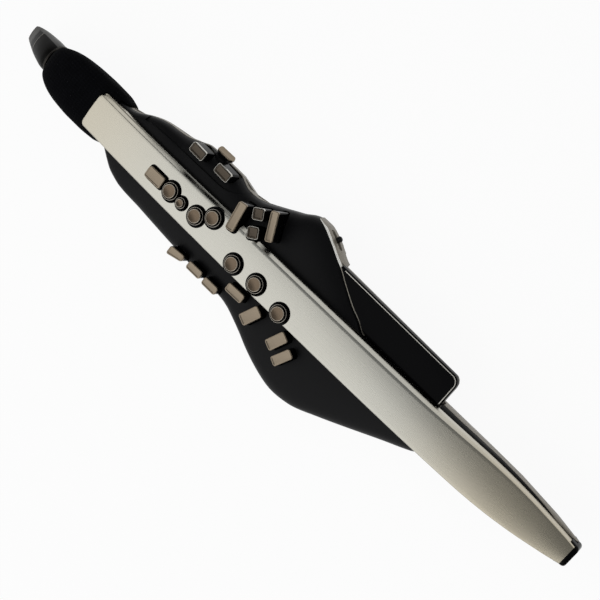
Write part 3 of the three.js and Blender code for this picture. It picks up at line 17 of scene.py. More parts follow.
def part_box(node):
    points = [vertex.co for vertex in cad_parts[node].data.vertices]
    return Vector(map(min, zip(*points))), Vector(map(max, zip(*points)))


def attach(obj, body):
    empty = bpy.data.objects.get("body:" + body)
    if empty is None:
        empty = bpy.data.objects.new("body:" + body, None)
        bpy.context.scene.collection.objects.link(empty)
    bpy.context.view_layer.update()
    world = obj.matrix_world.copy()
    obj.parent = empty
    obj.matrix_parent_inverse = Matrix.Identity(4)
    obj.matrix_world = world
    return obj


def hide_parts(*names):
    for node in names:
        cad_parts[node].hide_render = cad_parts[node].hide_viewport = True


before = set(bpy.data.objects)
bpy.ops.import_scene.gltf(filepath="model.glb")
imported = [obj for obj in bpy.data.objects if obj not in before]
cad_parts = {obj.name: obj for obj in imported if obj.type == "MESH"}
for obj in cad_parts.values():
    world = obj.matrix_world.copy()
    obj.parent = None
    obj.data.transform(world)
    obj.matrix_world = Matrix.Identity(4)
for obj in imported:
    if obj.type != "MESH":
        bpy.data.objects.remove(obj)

LOG = logging.getLogger("wind_controller")
MILLIMETRE = 0.001
FULL_TURN = 2 * math.pi
QUARTER = math.pi / 2
MERGE_DISTANCE = 1e-5
NODE_MERGE_DISTANCE = 1e-3
FLAT_ANGLE = math.radians(0.2)
BEVEL_MARGIN = 10.0
KEY_ROOM_FOOT, KEY_ROOM_HEAD = -26.0, 9.0

Pair = tuple[float, float]
Triple = tuple[float, float, float]
Form = bmesh.types.BMesh


# Materials

def tone(code: str) -> Triple:
    """Turns a six-digit colour code into linear red, green and blue.

    Args:
        code: The colour as it is seen, such as "#c6c3b8".

    Returns:
        The three linear values.
    """
    parts = [int(code[i:i + 2], 16) / 255 for i in (1, 3, 5)]
    return tuple(part / 12.92 if part <= 0.04045 else ((part + 0.055) / 1.055) ** 2.4 for part in parts)


def math_node(operation: str, flipped: bool = False) -> Callable:
    """A method of a wire that adds one Math node.

    Args:
        operation: The node's operation.
        flipped: Whether the other value comes first.

    Returns:
        The method.
    """
    def method(wire: "Wire", other: "Value" = 0.0) -> "Wire":
        """Adds the node."""
        first, second = (other, wire) if flipped else (wire, other)
        return wire.board.add("ShaderNodeMath", {"operation": operation}, {0: first, 1: second})

    return method


class Wire:
    """A node's output that Python's operators can work on."""

    def __init__(self, board: "Board", socket: bpy.types.NodeSocket) -> None:
        """Keeps the socket and the board that it belongs to."""
        self.board = board
        self.socket = socket

    __add__ = math_node("ADD")
    __radd__ = math_node("ADD", True)
    __sub__ = math_node("SUBTRACT")
    __rsub__ = math_node("SUBTRACT", True)
    __mul__ = math_node("MULTIPLY")
    __truediv__ = math_node("DIVIDE")
    above = math_node("GREATER_THAN")
    cycle = math_node("FRACT")


Value = Union[Wire, float, tuple]


class Board:
    """The nodes of one material."""

    def __init__(self, name: str) -> None:
        """Starts an empty material.

        Args:
            name: The material's name.
        """
        self.material = bpy.data.materials.new(name)
        self.material.use_nodes = True
        self.tree = self.material.node_tree
        self.tree.nodes.clear()

    def add(self, kind: str, settings: Optional[dict] = None, sockets: Optional[dict] = None,
            output: Union[int, str] = 0) -> Wire:
        """Adds a node of any type.

        Args:
            kind: The node's type.
            settings: Values of the node's own settings. Stops are a ramp's places and colours.
            sockets: Values or wires of its inputs, by name or number.
            output: The output that is wanted, by name or number.

        Returns:
            That output.
        """
        node = self.tree.nodes.new(kind)
        for key, value in (settings or {}).items():
            if key == "stops":
                self._set_stops(node.color_ramp, value)
            else:
                setattr(node, key, value)
        for key, value in (sockets or {}).items():
            if isinstance(value, Wire):
                self.tree.links.new(value.socket, node.inputs[key])
            else:
                node.inputs[key].default_value = value
        return Wire(self, node.outputs[output]) if len(node.outputs) else None

    @staticmethod
    def _set_stops(ramp: bpy.types.ColorRamp, stops: Sequence[tuple[float, Triple]]) -> None:
        """Gives a ramp its places and colours."""
        while len(ramp.elements) < len(stops):
            ramp.elements.new(1.0)
        for element, (place, colour) in zip(ramp.elements, stops):
            element.position = place
            element.color = (*colour, 1.0)

    def place(self) -> Wire:
        """The place on the object."""
        return self.add("ShaderNodeTexCoord", output="Object")

    def stretched(self, place: Wire, scale: Triple, turn: Triple = (0.0, 0.0, 0.0)) -> Wire:
        """A place with each direction scaled, after a turn."""
        return self.add("ShaderNodeMapping", {}, {"Vector": place, "Rotation": turn, "Scale": scale})

    def grain(self, place: Wire, scale: float, detail: float = 2.0, rough: float = 0.5) -> Wire:
        """Smooth noise between 0 and 1."""
        return self.add("ShaderNodeTexNoise", {}, {
            "Vector": place, "Scale": scale, "Detail": detail, "Roughness": rough,
        })

    def axis(self, place: Wire, name: str) -> Wire:
        """One coordinate of a place, X, Y or Z."""
        return self.add("ShaderNodeSeparateXYZ", {}, {0: place}, name)

    def mixed(self, share: Value, first: Value, second: Value) -> Wire:
        """Blends two colours by a share."""
        return self.add("ShaderNodeMix", {"data_type": "RGBA"}, {
            0: share, 6: opaque(first), 7: opaque(second),
        }, 2)

    def eased(self, value: Wire, low: float, high: float) -> Wire:
        """Zero below low, one above high, and smooth between."""
        return self.add("ShaderNodeMapRange", {"interpolation_type": "SMOOTHSTEP"}, {
            "Value": value, "From Min": low, "From Max": high,
        })

    def relief(self, height: Wire, distance: float, strength: float = 1.0) -> Wire:
        """The bump of a height field.

        Args:
            height: The height, from 0 to 1.
            distance: The real height of 1, in metres.
            strength: The share of the bump that is kept.

        Returns:
            The normal.
        """
        return self.add("ShaderNodeBump", {}, {"Height": height, "Distance": distance, "Strength": strength})

    def surface(self, sockets: dict) -> None:
        """Ends the material in one principled shader with these inputs."""
        shader = self.add("ShaderNodeBsdfPrincipled", {}, sockets)
        self.add("ShaderNodeOutputMaterial", {}, {"Surface": shader})


def opaque(value: Value) -> Value:
    """Adds full alpha to a plain colour."""
    return (*value, 1.0) if isinstance(value, tuple) and len(value) == 3 else value


def scaled(colour: Triple, share: float) -> Triple:
    """A colour made darker or paler, but no brighter than white."""
    return tuple(min(part * share, 1.0) for part in colour)


@dataclass(frozen=True)
class Finish:
    """What every finish has: its name, its colour and how rough it is."""

    name: str
    colour: str
    roughness: float

    def sockets(self, board: Board, place: Wire, base: Triple) -> dict:
        """Adds the finish's nodes to an empty material.

        Args:
            board: The material's nodes.
            place: The place on the object.
            base: The finish's colour.

        Returns:
            The inputs of its shader, by name.
        """
        raise NotImplementedError

    def material(self) -> bpy.types.Material:
        """Returns the finish's material, which is made once."""
        known = bpy.data.materials.get(self.name)
        if known is not None:
            return known
        board = Board(self.name)
        board.surface(self.sockets(board, board.place(), tone(self.colour)))
        return board.material


@dataclass(frozen=True)
class BrushedMetal(Finish):
    """Metal with fine lines along the body."""

    lines: Triple = (950.0, 5.0, 950.0)
    contrast: float = 0.07
    depth: float = 0.000003
    cloud: float = 26.0
    # Tint of the painted shade at both ends of the body.
    end_shade_tint: Triple = (1.0, 1.0, 1.0)

    def sockets(self, board: Board, place: Wire, base: Triple) -> dict:
        """Lines in colour, roughness and relief, with painted shade that makes both ends warmer and darker, under a
        faint cloud of handling.
        """
        fine = board.grain(board.stretched(place, self.lines), 1.0, 3.0, 0.6)
        cloud = board.grain(place, self.cloud, 3.0)
        dark, pale = scaled(base, 1 - self.contrast), scaled(base, 1 + self.contrast)
        along = board.axis(place, "Y")
        # Painted shade: the colour turns warmer and darker towards both ends of the body.
        ends = board.eased(along, -0.12, -0.24) + board.eased(along, 0.08, 0.2) * 0.7
        painted_end_shade = tuple(part * share for part, share in zip(base, self.end_shade_tint))
        return {
            "Base Color": board.mixed(ends, board.mixed(fine, dark, pale), painted_end_shade),
            "Metallic": 1.0,
            "Roughness": self.roughness + (fine - 0.5) * 0.06 + (cloud - 0.5) * 0.06,
            "Normal": board.relief(fine, self.depth),
        }


@dataclass(frozen=True)
class PolishedMetal(Finish):
    """Plated metal with faint smears."""

    def sockets(self, board: Board, place: Wire, base: Triple) -> dict:
        """A nearly even plating whose gloss varies a little."""
        smear = board.grain(place, 180.0, 4.0)
        return {
            "Base Color": board.mixed(smear, scaled(base, 0.86), base),
            "Metallic": 1.0,
            "Roughness": self.roughness + (smear - 0.5) * 0.12,
            "Normal": board.relief(smear, 0.000004),
        }


@dataclass(frozen=True)
class MouldedPlastic(Finish):
    """Moulded plastic with a fine spark-eroded grain."""

    grain_scale: float = 2600.0
    depth: float = 0.00002
    gloss_level: float = 0.3
    coat: float = 0.0

    def sockets(self, board: Board, place: Wire, base: Triple) -> dict:
        """Fine grain in relief, and slow changes of tone and gloss."""
        fine = board.grain(place, self.grain_scale, 2.0)
        slow = board.grain(place, 22.0, 3.0)
        pale = tuple(part * 1.5 + 0.0015 for part in base)
        return {
            "Base Color": board.mixed(slow, base, pale),
            "Roughness": self.roughness + (slow - 0.5) * 0.12 + (fine - 0.5) * 0.06,
            "Specular IOR Level": self.gloss_level,
            "Coat Weight": self.coat,
            "Coat Roughness": 0.05,
            "Normal": board.relief(fine, self.depth),
        }


@dataclass(frozen=True)
class FlakedPaint(Finish):
    """Metallic paint with fine flakes."""

    flake_scale: float = 4200.0

    def sockets(self, board: Board, place: Wire, base: Triple) -> dict:
        """Flakes that differ in tone and tilt, under an even base."""
        flake = board.add("ShaderNodeTexVoronoi", {}, {"Vector": place, "Scale": self.flake_scale}, "Distance")
        slow = board.grain(place, 16.0, 3.0)
        return {
            "Base Color": board.mixed(flake * 0.8 + (slow - 0.5) * 0.5, scaled(base, 0.72), scaled(base, 1.25)),
            "Metallic": 0.45,
            "Roughness": self.roughness + (slow - 0.5) * 0.12,
            "Normal": board.relief(flake, 0.000008),
        }


@dataclass(frozen=True)
class SoftKnit(Finish):
    """Stretch fabric over foam, with fine ribs and a nap."""

    rib_scale: float = 900.0

    def sockets(self, board: Board, place: Wire, base: Triple) -> dict:
        """Ribs of stitches with lint; the colour is paler on the raised loops, partly the lint and partly a painted
        highlight, and darker in the grooves as painted shade.
        """
        bent = board.add("ShaderNodeMix", {"data_type": "VECTOR"}, {
            0: 0.0016, 4: place, 5: board.add("ShaderNodeTexNoise", {}, {"Vector": place, "Scale": 120.0}, "Color"),
        }, 1)
        ribs = board.add("ShaderNodeTexWave", {"bands_direction": "X"}, {
            "Vector": bent, "Scale": self.rib_scale / 6.283, "Distortion": 1.5, "Detail": 2.0, "Detail Scale": 3.0,
        }, "Fac")
        rows = board.add("ShaderNodeTexWave", {"bands_direction": "Y"}, {
            "Vector": bent, "Scale": self.rib_scale / 9.0, "Distortion": 2.5, "Detail": 2.0,
        }, "Fac")
        lint = board.grain(place, 1500.0, 3.0, 0.7)
        blotch = board.grain(place, 130.0, 4.0, 0.7)
        # Painted light: the colour follows this relief, paler on the raised loops and darker in the grooves between
        # the ribs, together with the lint's own paler fibres.
        height = ribs * 0.45 + rows * 0.3 + lint * 0.5
        pale = tuple(part * 2.4 + extra for part, extra in zip(base, (0.0020, 0.0021, 0.0027)))
        return {
            "Base Color": board.mixed((height * blotch), base, pale),
            "Roughness": 0.86 + lint * 0.14,
            "Specular IOR Level": 0.04,
            "Sheen Weight": 0.012,
            "Sheen Roughness": 0.5,
            "Normal": board.relief(height, 0.0002, 0.7),
        }


@dataclass(frozen=True)
class SmokedPlastic(Finish):
    """Smoky plastic that lets a little light in."""

    clear: float = 0.25

    def sockets(self, board: Board, place: Wire, base: Triple) -> dict:
        """Cloudy depth with rubbed patches."""
        cloud = board.grain(place, 60.0, 4.0)
        streak = board.grain(board.stretched(place, (900.0, 60.0, 900.0)), 1.0, 2.0)
        return {
            "Base Color": board.mixed(cloud * 0.7 + streak * 0.3, scaled(base, 0.6), base),
            "Roughness": self.roughness + (cloud - 0.5) * 0.15,
            "Transmission Weight": self.clear,
            "IOR": 1.46,
            "Normal": board.relief(streak, 0.00001),
        }


@dataclass(frozen=True)
class Rubber(Finish):
    """Matt rubber with a powdery surface."""

    def sockets(self, board: Board, place: Wire, base: Triple) -> dict:
        """Powder in tone, and a fine sandy relief."""
        sand = board.grain(place, 3000.0, 3.0, 0.7)
        slow = board.grain(place, 60.0, 3.0)
        return {
            "Base Color": board.mixed(slow, base, scaled(base, 1.35)),
            "Roughness": self.roughness + (sand - 0.5) * 0.1,
            "Specular IOR Level": 0.25,
            "Normal": board.relief(sand, 0.00003),
        }


@dataclass(frozen=True)
class CircuitBoard(Finish):
    """Lacquered board with buried tracks and tinned pads."""

    def sockets(self, board: Board, place: Wire, base: Triple) -> dict:
        """Tracks from an angular cell pattern, and pads on a grid."""
        cells = board.add("ShaderNodeTexVoronoi", {"distance": "MANHATTAN", "feature": "F2"}, {
            "Vector": place, "Scale": 260.0,
        }, "Distance")
        track = board.eased(cells.cycle(), 0.45, 0.6)
        pads = board.add("ShaderNodeTexVoronoi", {}, {
            "Vector": place, "Scale": 320.0, "Randomness": 0.35,
        }, "Distance")
        pad = 1.0 - board.eased(pads, 0.12, 0.16)
        lacquer = board.mixed(track, base, scaled(base, 1.7))
        return {
            "Base Color": board.mixed(pad, lacquer, tone("#b8b4a4")),
            "Metallic": pad * 0.9,
            "Roughness": self.roughness - track * 0.1,
            "Normal": board.relief(track * 0.5 + pad, 0.00004),
        }


@dataclass(frozen=True)
class CellWrap(Finish):
    """Printed sleeve of a round cell, with a pale band at one end."""

    band_pitch: float = 0.0498

    def sockets(self, board: Board, place: Wire, base: Triple) -> dict:
        """Bands along the cell under a clear film."""
        along = board.axis(place, "Y")
        band = ((along + 0.2) / self.band_pitch).cycle().above(0.72)
        film = board.grain(place, 300.0, 2.0)
        return {
            "Base Color": board.mixed(band, base, tone("#b9bcc0")),
            "Metallic": 0.35,
            "Roughness": self.roughness + (film - 0.5) * 0.1,
            "Normal": board.relief(film, 0.00001),
        }


@dataclass(frozen=True)
class DarkGlass(Finish):
    """Tinted window over an unlit screen."""

    def sockets(self, board: Board, place: Wire, base: Triple) -> dict:
        """A faint painted glow on the window's left half, though the screen under the glass is unlit, with a few
        smears on top.
        """
        # Painted glow: a paler bluish tone across the window, though no light comes from the screen.
        screen = board.eased(board.axis(place, "X").cycle(), 0.0, 1.0)
        smear = board.grain(place, 140.0, 4.0)
        return {
            "Base Color": board.mixed(screen * smear, base, tone("#1c2530")),
            "Roughness": self.roughness + smear * 0.08,
            "Coat Weight": 1.0,
            "Coat Roughness": 0.03,
            "Normal": board.relief(smear, 0.000004),
        }


class Slot(Enum):
    """The record's material slots."""

    PANEL = "silver_panel"
    SATIN = "satin_black"
    GLOSS = "gloss_black"
    GREY = "case_grey"
    SOFT = "soft_black"
    CHROME = "chrome"
    NICKEL = "key_nickel"
    BOARD = "board_green"
    RUBBER = "rubber_grey"
    STEEL = "steel"
    CELL = "cell_blue"
    GLASS = "dark_glass"
    TUBE = "clear_tube"
    BEAK = "beak_black"
    TIP = "beak_grey"


NICKEL_LINES = (2600.0, 160.0, 2600.0)
RESIN_GRAIN = (1200.0, 0.000004)
FINISHES: dict[Slot, Finish] = {
    # The panel's end tint is painted shade at both ends of its bow.
    Slot.PANEL: BrushedMetal("brushed_panel", "#bcbab1", 0.27, end_shade_tint=(0.97, 0.9, 0.79)),
    Slot.SATIN: MouldedPlastic("satin_casing", "#060607", 0.44, gloss_level=0.12),
    Slot.GLOSS: MouldedPlastic("gloss_lid", "#030304", 0.12, 900.0, 0.000002, 0.035),
    Slot.GREY: FlakedPaint("champagne_back", "#8b857a", 0.42),
    Slot.SOFT: SoftKnit("knit_cover", "#030304", 0.9),
    Slot.CHROME: PolishedMetal("bright_plating", "#bdbab2", 0.18),
    Slot.NICKEL: BrushedMetal("smoked_nickel", "#887c6c", 0.3, NICKEL_LINES, 0.12, 0.000004, 60.0),
    Slot.BOARD: CircuitBoard("green_board", "#1f5a38", 0.5),
    Slot.RUBBER: Rubber("grey_rubber", "#4a4b4d", 0.85),
    Slot.STEEL: PolishedMetal("plain_steel", "#a8a8a6", 0.32),
    Slot.CELL: CellWrap("cell_sleeve", "#35507a", 0.4),
    Slot.GLASS: DarkGlass("screen_glass", "#06080a", 0.05),
    Slot.TUBE: SmokedPlastic("milky_tube", "#c9cfd2", 0.4, 0.5),
    Slot.BEAK: MouldedPlastic("beak_resin", "#090807", 0.38, *RESIN_GRAIN, 0.045),
    Slot.TIP: SmokedPlastic("smoked_tip", "#2a2721", 0.38, 0.1),
}
# The round keys' pads: the paler nickel of the rim is a painted highlight and the darker nickel of the dish is painted
# shade.
DISH_NICKEL = BrushedMetal("dish_nickel", "#6d5f50", 0.36, NICKEL_LINES, 0.16, 0.000004, 90.0)
PALE_NICKEL = PolishedMetal("pale_nickel", "#a79d8f", 0.26)
# Dark nickel: the own darker tone of the low C sharp and B keys, and painted shade on the palm keys, which face away
# from the light.
DARK_NICKEL = BrushedMetal("dark_nickel", "#4a433b", 0.24, NICKEL_LINES, 0.12, 0.000004, 60.0)
COLLAR_METAL = PolishedMetal("collar_edge", "#a9a49b", 0.2)
DARK_PLATING = PolishedMetal("dark_plating", "#35322f", 0.34)
# The ridge lip's paint: a paler copy of the back's grey, its own grey lightened by a painted highlight.
LIP_PAINT_WITH_HIGHLIGHT = FlakedPaint("champagne_lip_highlight", "#b9b3a6", 0.34)
# Near-white paint of the shoulder's rolled edge: a painted highlight.
PAINTED_HIGHLIGHT_EDGE = FlakedPaint("painted_highlight_edge", "#f1ede3", 0.3)
# A paler grey resin for the thin band where the beak's plate ends.
ARC_RESIN = MouldedPlastic("pale_band_resin", "#5a554e", 0.3, *RESIN_GRAIN, 0.4)
DEEP_RESIN = MouldedPlastic("deep_resin", "#050504", 0.4, *RESIN_GRAIN, 0.1)


# Forms

@dataclass(frozen=True)
class Layout:
    """Where the plan's origin lies in the frame, in metres."""

    x: float
    y: float
    z: float

    @classmethod
    def of_frame(cls) -> "Layout":
        """Reads the origin from the panel, which is crowned at z = 0, and the foot cap, which starts at y = 0."""
        panel_low, panel_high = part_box("front_panel")
        cap_low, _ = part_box("foot_cap")
        return cls((panel_low.x + panel_high.x) / 2, cap_low.y, panel_high.z)

    def matrix(self) -> Matrix:
        """The step from the plan's millimetres to the frame's metres."""
        return Matrix.Translation((self.x, self.y, self.z)) @ Matrix.Scale(MILLIMETRE, 4)

    def spot(self, x: float, y: float, z: float) -> Vector:
        """A place of the plan in the frame."""
        return self.matrix() @ Vector((x, y, z))

    def plan_box(self, node: str) -> tuple[Vector, Vector]:
        """The lowest and highest corner of a node, in the plan's millimetres."""
        back = self.matrix().inverted()
        low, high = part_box(node)
        return back @ low, back @ high


LAYOUT = Layout.of_frame()


def smooth_table(pairs: Sequence[Pair]) -> Callable[[float], float]:
    """Smooth value between pairs of place and value, flat beyond the ends.

    Args:
        pairs: The pairs, by rising place.

    Returns:
        A function of the place.
    """
    last = len(pairs) - 1
    slopes = [0.0] * len(pairs)
    for i in range(1, last):
        (x0, y0), (_, y1), (x2, y2) = pairs[i - 1:i + 2]
        slopes[i] = (y2 - y0) / (x2 - x0) if (y1 - y0) * (y2 - y1) > 0 else 0.0

    def value(place: float) -> float:
        """The table's value at a place."""
        if place <= pairs[0][0]:
            return pairs[0][1]
        if place >= pairs[last][0]:
            return pairs[last][1]
        i = next(k for k in range(last) if place <= pairs[k + 1][0])
        step = pairs[i + 1][0] - pairs[i][0]
        t = (place - pairs[i][0]) / step
        rise = pairs[i + 1][1] - pairs[i][1]
        bend = slopes[i] * step * t * (1 - t) ** 2 - slopes[i + 1] * step * t * t * (1 - t)
        return pairs[i][1] + rise * t * t * (3 - 2 * t) + bend

    return value


def spread(low: float, high: float, steps: int) -> list[float]:
    """Evenly spaced values from low to high, both ends included."""
    return [low + (high - low) * i / steps for i in range(steps + 1)]


def loft(rows: Sequence[Sequence[Vector]]) -> Form:
    """Skins closed rings of equally many points, and closes both ends.

    Args:
        rows: The rings, one after the other.

    Returns:
        A closed form.
    """
    form = bmesh.new()
    count, last = len(rows[0]), len(rows) - 1
    bmesh.ops.create_grid(form, x_segments=count, y_segments=last, size=1.0)
    for vert in form.verts:
        i = round((vert.co.x + 1) / 2 * count) % count
        vert.co = rows[round((vert.co.y + 1) / 2 * last)][i]
    bmesh.ops.remove_doubles(form, verts=form.verts, dist=MERGE_DISTANCE)
    bmesh.ops.holes_fill(form, edges=form.edges, sides=0)
    bmesh.ops.recalc_face_normals(form, faces=form.faces)
    return form


def prism(outline: Sequence[Pair], low: float, high: float) -> Form:
    """Straight prism of a flat outline between two heights."""
    form = bmesh.new()
    face = form.faces.new([form.verts.new((x, y, low)) for x, y in outline])
    made = bmesh.ops.extrude_face_region(form, geom=[face])
    top = [part for part in made["geom"] if isinstance(part, bmesh.types.BMVert)]
    bmesh.ops.translate(form, vec=(0, 0, high - low), verts=top)
    bmesh.ops.recalc_face_normals(form, faces=form.faces)
    return form


def arc(centre: Pair, reach: Union[float, Pair], start: float, end: float, steps: int) -> list[Pair]:
    """Evenly spaced points of an arc, both ends included.

    Args:
        centre: The arc's centre.
        reach: Its radius, or both half axes of an ellipse. A negative one mirrors it.
        start: The first angle.
        end: The last angle.
        steps: Steps between them.

    Returns:
        The points.
    """
    wide, tall = reach if isinstance(reach, tuple) else (reach, reach)
    return [
        (centre[0] + wide * math.cos(angle), centre[1] + tall * math.sin(angle)) for angle in spread(start, end, steps)
    ]


def squared(angle: float, power: float) -> Pair:
    """A place on the unit circle, squared off by a power above 2."""
    return tuple(math.copysign(abs(part) ** (2 / power), part) for part in (math.cos(angle), math.sin(angle)))


def upright(y: float, points: Sequence[Pair]) -> list[Vector]:
    """A section across the body, from pairs of x and z."""
    return [Vector((x, y, z)) for x, z in points]


def rounded_outline(width: float, length: float, radius: float, steps: int = 6) -> list[Pair]:
    """Outline of a rounded rectangle about the origin."""
    points = []
    for corner, (sx, sy) in enumerate(((1, 1), (-1, 1), (-1, -1), (1, -1))):
        centre = (sx * (width / 2 - radius), sy * (length / 2 - radius))
        points += arc(centre, radius, corner * QUARTER, (corner + 1) * QUARTER, steps)
    return points


def turned(profile: Sequence[Pair], steps: int = 48) -> Form:
    """Spins a profile of radius and height once around the z axis.

    Args:
        profile: The points, from one pole to the other, or a closed ring away from the axis.
        steps: Steps around.

    Returns:
        A closed form.
    """
    form = bmesh.new()
    verts = [form.verts.new((radius, 0, height)) for radius, height in profile]
    edges = [form.edges.new(pair) for pair in zip(verts, verts[1:])]
    if profile[0][0] > 0:
        edges.append(form.edges.new((verts[-1], verts[0])))
    bmesh.ops.spin(form, geom=verts + edges, axis=(0, 0, 1), cent=(0, 0, 0), angle=FULL_TURN, steps=steps,
                   use_merge=True)
    bmesh.ops.remove_doubles(form, verts=form.verts, dist=MERGE_DISTANCE)
    bmesh.ops.recalc_face_normals(form, faces=form.faces)
    return form


def placed(form: Form, matrix: Matrix) -> Form:
    """Sets a form by a matrix."""
    bmesh.ops.transform(form, matrix=matrix, verts=form.verts)
    return form


def disc(radius: float, low: float, high: float, steps: int) -> Form:
    """A round prism about the z axis."""
    return turned([(0, low), (radius, low), (radius, high), (0, high)], steps)


def moved(x: float, y: float, z: float, turn: float = 0.0) -> Matrix:
    """A step to a place after a turn about z, in degrees."""
    return Matrix.Translation((x, y, z)) @ Matrix.Rotation(math.radians(turn), 4, "Z")


def lengthwise(y: float, depth: float) -> Matrix:
    """The step that lays a form about the z axis along the body, below its crown."""
    return Matrix.Translation((0, y, -depth)) @ Matrix.Rotation(-QUARTER, 4, "X")


def meshed(name: str, form: Form) -> bpy.types.Mesh:
    """Turns a form into a mesh, and uses it up."""
    mesh = bpy.data.meshes.new(name)
    form.to_mesh(mesh)
    form.free()
    return mesh


def linked(name: str, data: Optional[bpy.types.ID]) -> bpy.types.Object:
    """Puts a new object with this data into the scene."""
    thing = bpy.data.objects.new(name, data)
    bpy.context.scene.collection.objects.link(thing)
    return thing


class Solid:
    """A closed form that others can be joined to with +, cut away with - or intersected with &."""

    def __init__(self, form: Form) -> None:
        """Takes a form over.

        Args:
            form: The form, which is used up.
        """
        self.thing = linked("work", meshed("work", form))

    def _combined(self, other: "Solid", operation: str) -> "Solid":
        """Combines this with another solid, which is used up."""
        step = self.thing.modifiers.new("combine", "BOOLEAN")
        step.operation = operation
        step.solver = "EXACT"
        step.object = other.thing
        graph = bpy.context.evaluated_depsgraph_get()
        mesh = bpy.data.meshes.new_from_object(self.thing.evaluated_get(graph))
        self.thing.modifiers.clear()
        spent = self.thing.data
        self.thing.data = mesh
        bpy.data.meshes.remove(spent)
        other.drop()
        return self

    def __add__(self, other: "Solid") -> "Solid":
        """Joins another solid to this one."""
        return self._combined(other, "UNION")

    def __sub__(self, other: "Solid") -> "Solid":
        """Cuts another solid away."""
        return self._combined(other, "DIFFERENCE")

    def __and__(self, other: "Solid") -> "Solid":
        """Keeps what lies in both."""
        return self._combined(other, "INTERSECT")

    def shifted(self, x: float, y: float, z: float) -> "Solid":
        """Moves this solid."""
        self.thing.data.transform(Matrix.Translation((x, y, z)))
        return self

    def form(self) -> Form:
        """Turns this solid back into a form, and uses it up."""
        form = bmesh.new()
        form.from_mesh(self.thing.data)
        self.drop()
        return form

    def drop(self) -> None:
        """Removes the working object."""
        mesh = self.thing.data
        bpy.data.objects.remove(self.thing)
        bpy.data.meshes.remove(mesh)


def box_run(rows: Sequence[tuple[float, float, float, float]]) -> Solid:
    """A straight-sided room from sections of place, half width, foot and head."""
    return Solid(loft([
        upright(y, ((-half, low), (half, low), (half, high), (-half, high))) for y, half, low, high in rows
    ]))


def node_form(node: str) -> Form:
    """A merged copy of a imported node's mesh, in the plan's millimetres."""
    form = bmesh.new()
    form.from_mesh(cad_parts[node].data)
    bmesh.ops.transform(form, matrix=LAYOUT.matrix().inverted(), verts=form.verts)
    bmesh.ops.remove_doubles(form, verts=form.verts, dist=NODE_MERGE_DISTANCE)
    bmesh.ops.dissolve_limit(form, angle_limit=FLAT_ANGLE, verts=form.verts, edges=form.edges)
    return form


@dataclass(frozen=True)
class Dress:
    """How a finished form enters the scene."""

    body: str
    slot: Slot
    replaced: tuple[str, ...] = ()
    finish: Optional[Finish] = None
    edge: float = 0.0
    edge_steps: int = 2
    crease: float = 34.0


def make_piece(name: str, form: Form, dress: Dress) -> bpy.types.Object:
    """Sets a form into the frame as one piece, with its finish and its body.

    Args:
        name: The piece's name.
        form: The form in the plan's millimetres, which is used up.
        dress: Its body, slot, finish and edges.

    Returns:
        The piece.
    """
    mesh = meshed(name, placed(form, LAYOUT.matrix()))
    mesh.shade_smooth()
    mesh.set_sharp_from_angle(angle=math.radians(dress.crease))
    thing = linked(name, mesh)
    finish = dress.finish or FINISHES[dress.slot]
    mesh.materials.clear()
    mesh.materials.append(finish.material())
    if dress.edge > 0:
        bevel = thing.modifiers.new("edge", "BEVEL")
        bevel.width = dress.edge * MILLIMETRE
        bevel.segments = dress.edge_steps
        bevel.limit_method = "ANGLE"
        bevel.angle_limit = math.radians(dress.crease + BEVEL_MARGIN)
        bevel.harden_normals = True
    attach(thing, dress.body)
    if dress.replaced:
        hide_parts(*dress.replaced)
    LOG.info("%s rides on %s in %s with %d faces", name, dress.body, finish.name, len(mesh.polygons))
    return thing


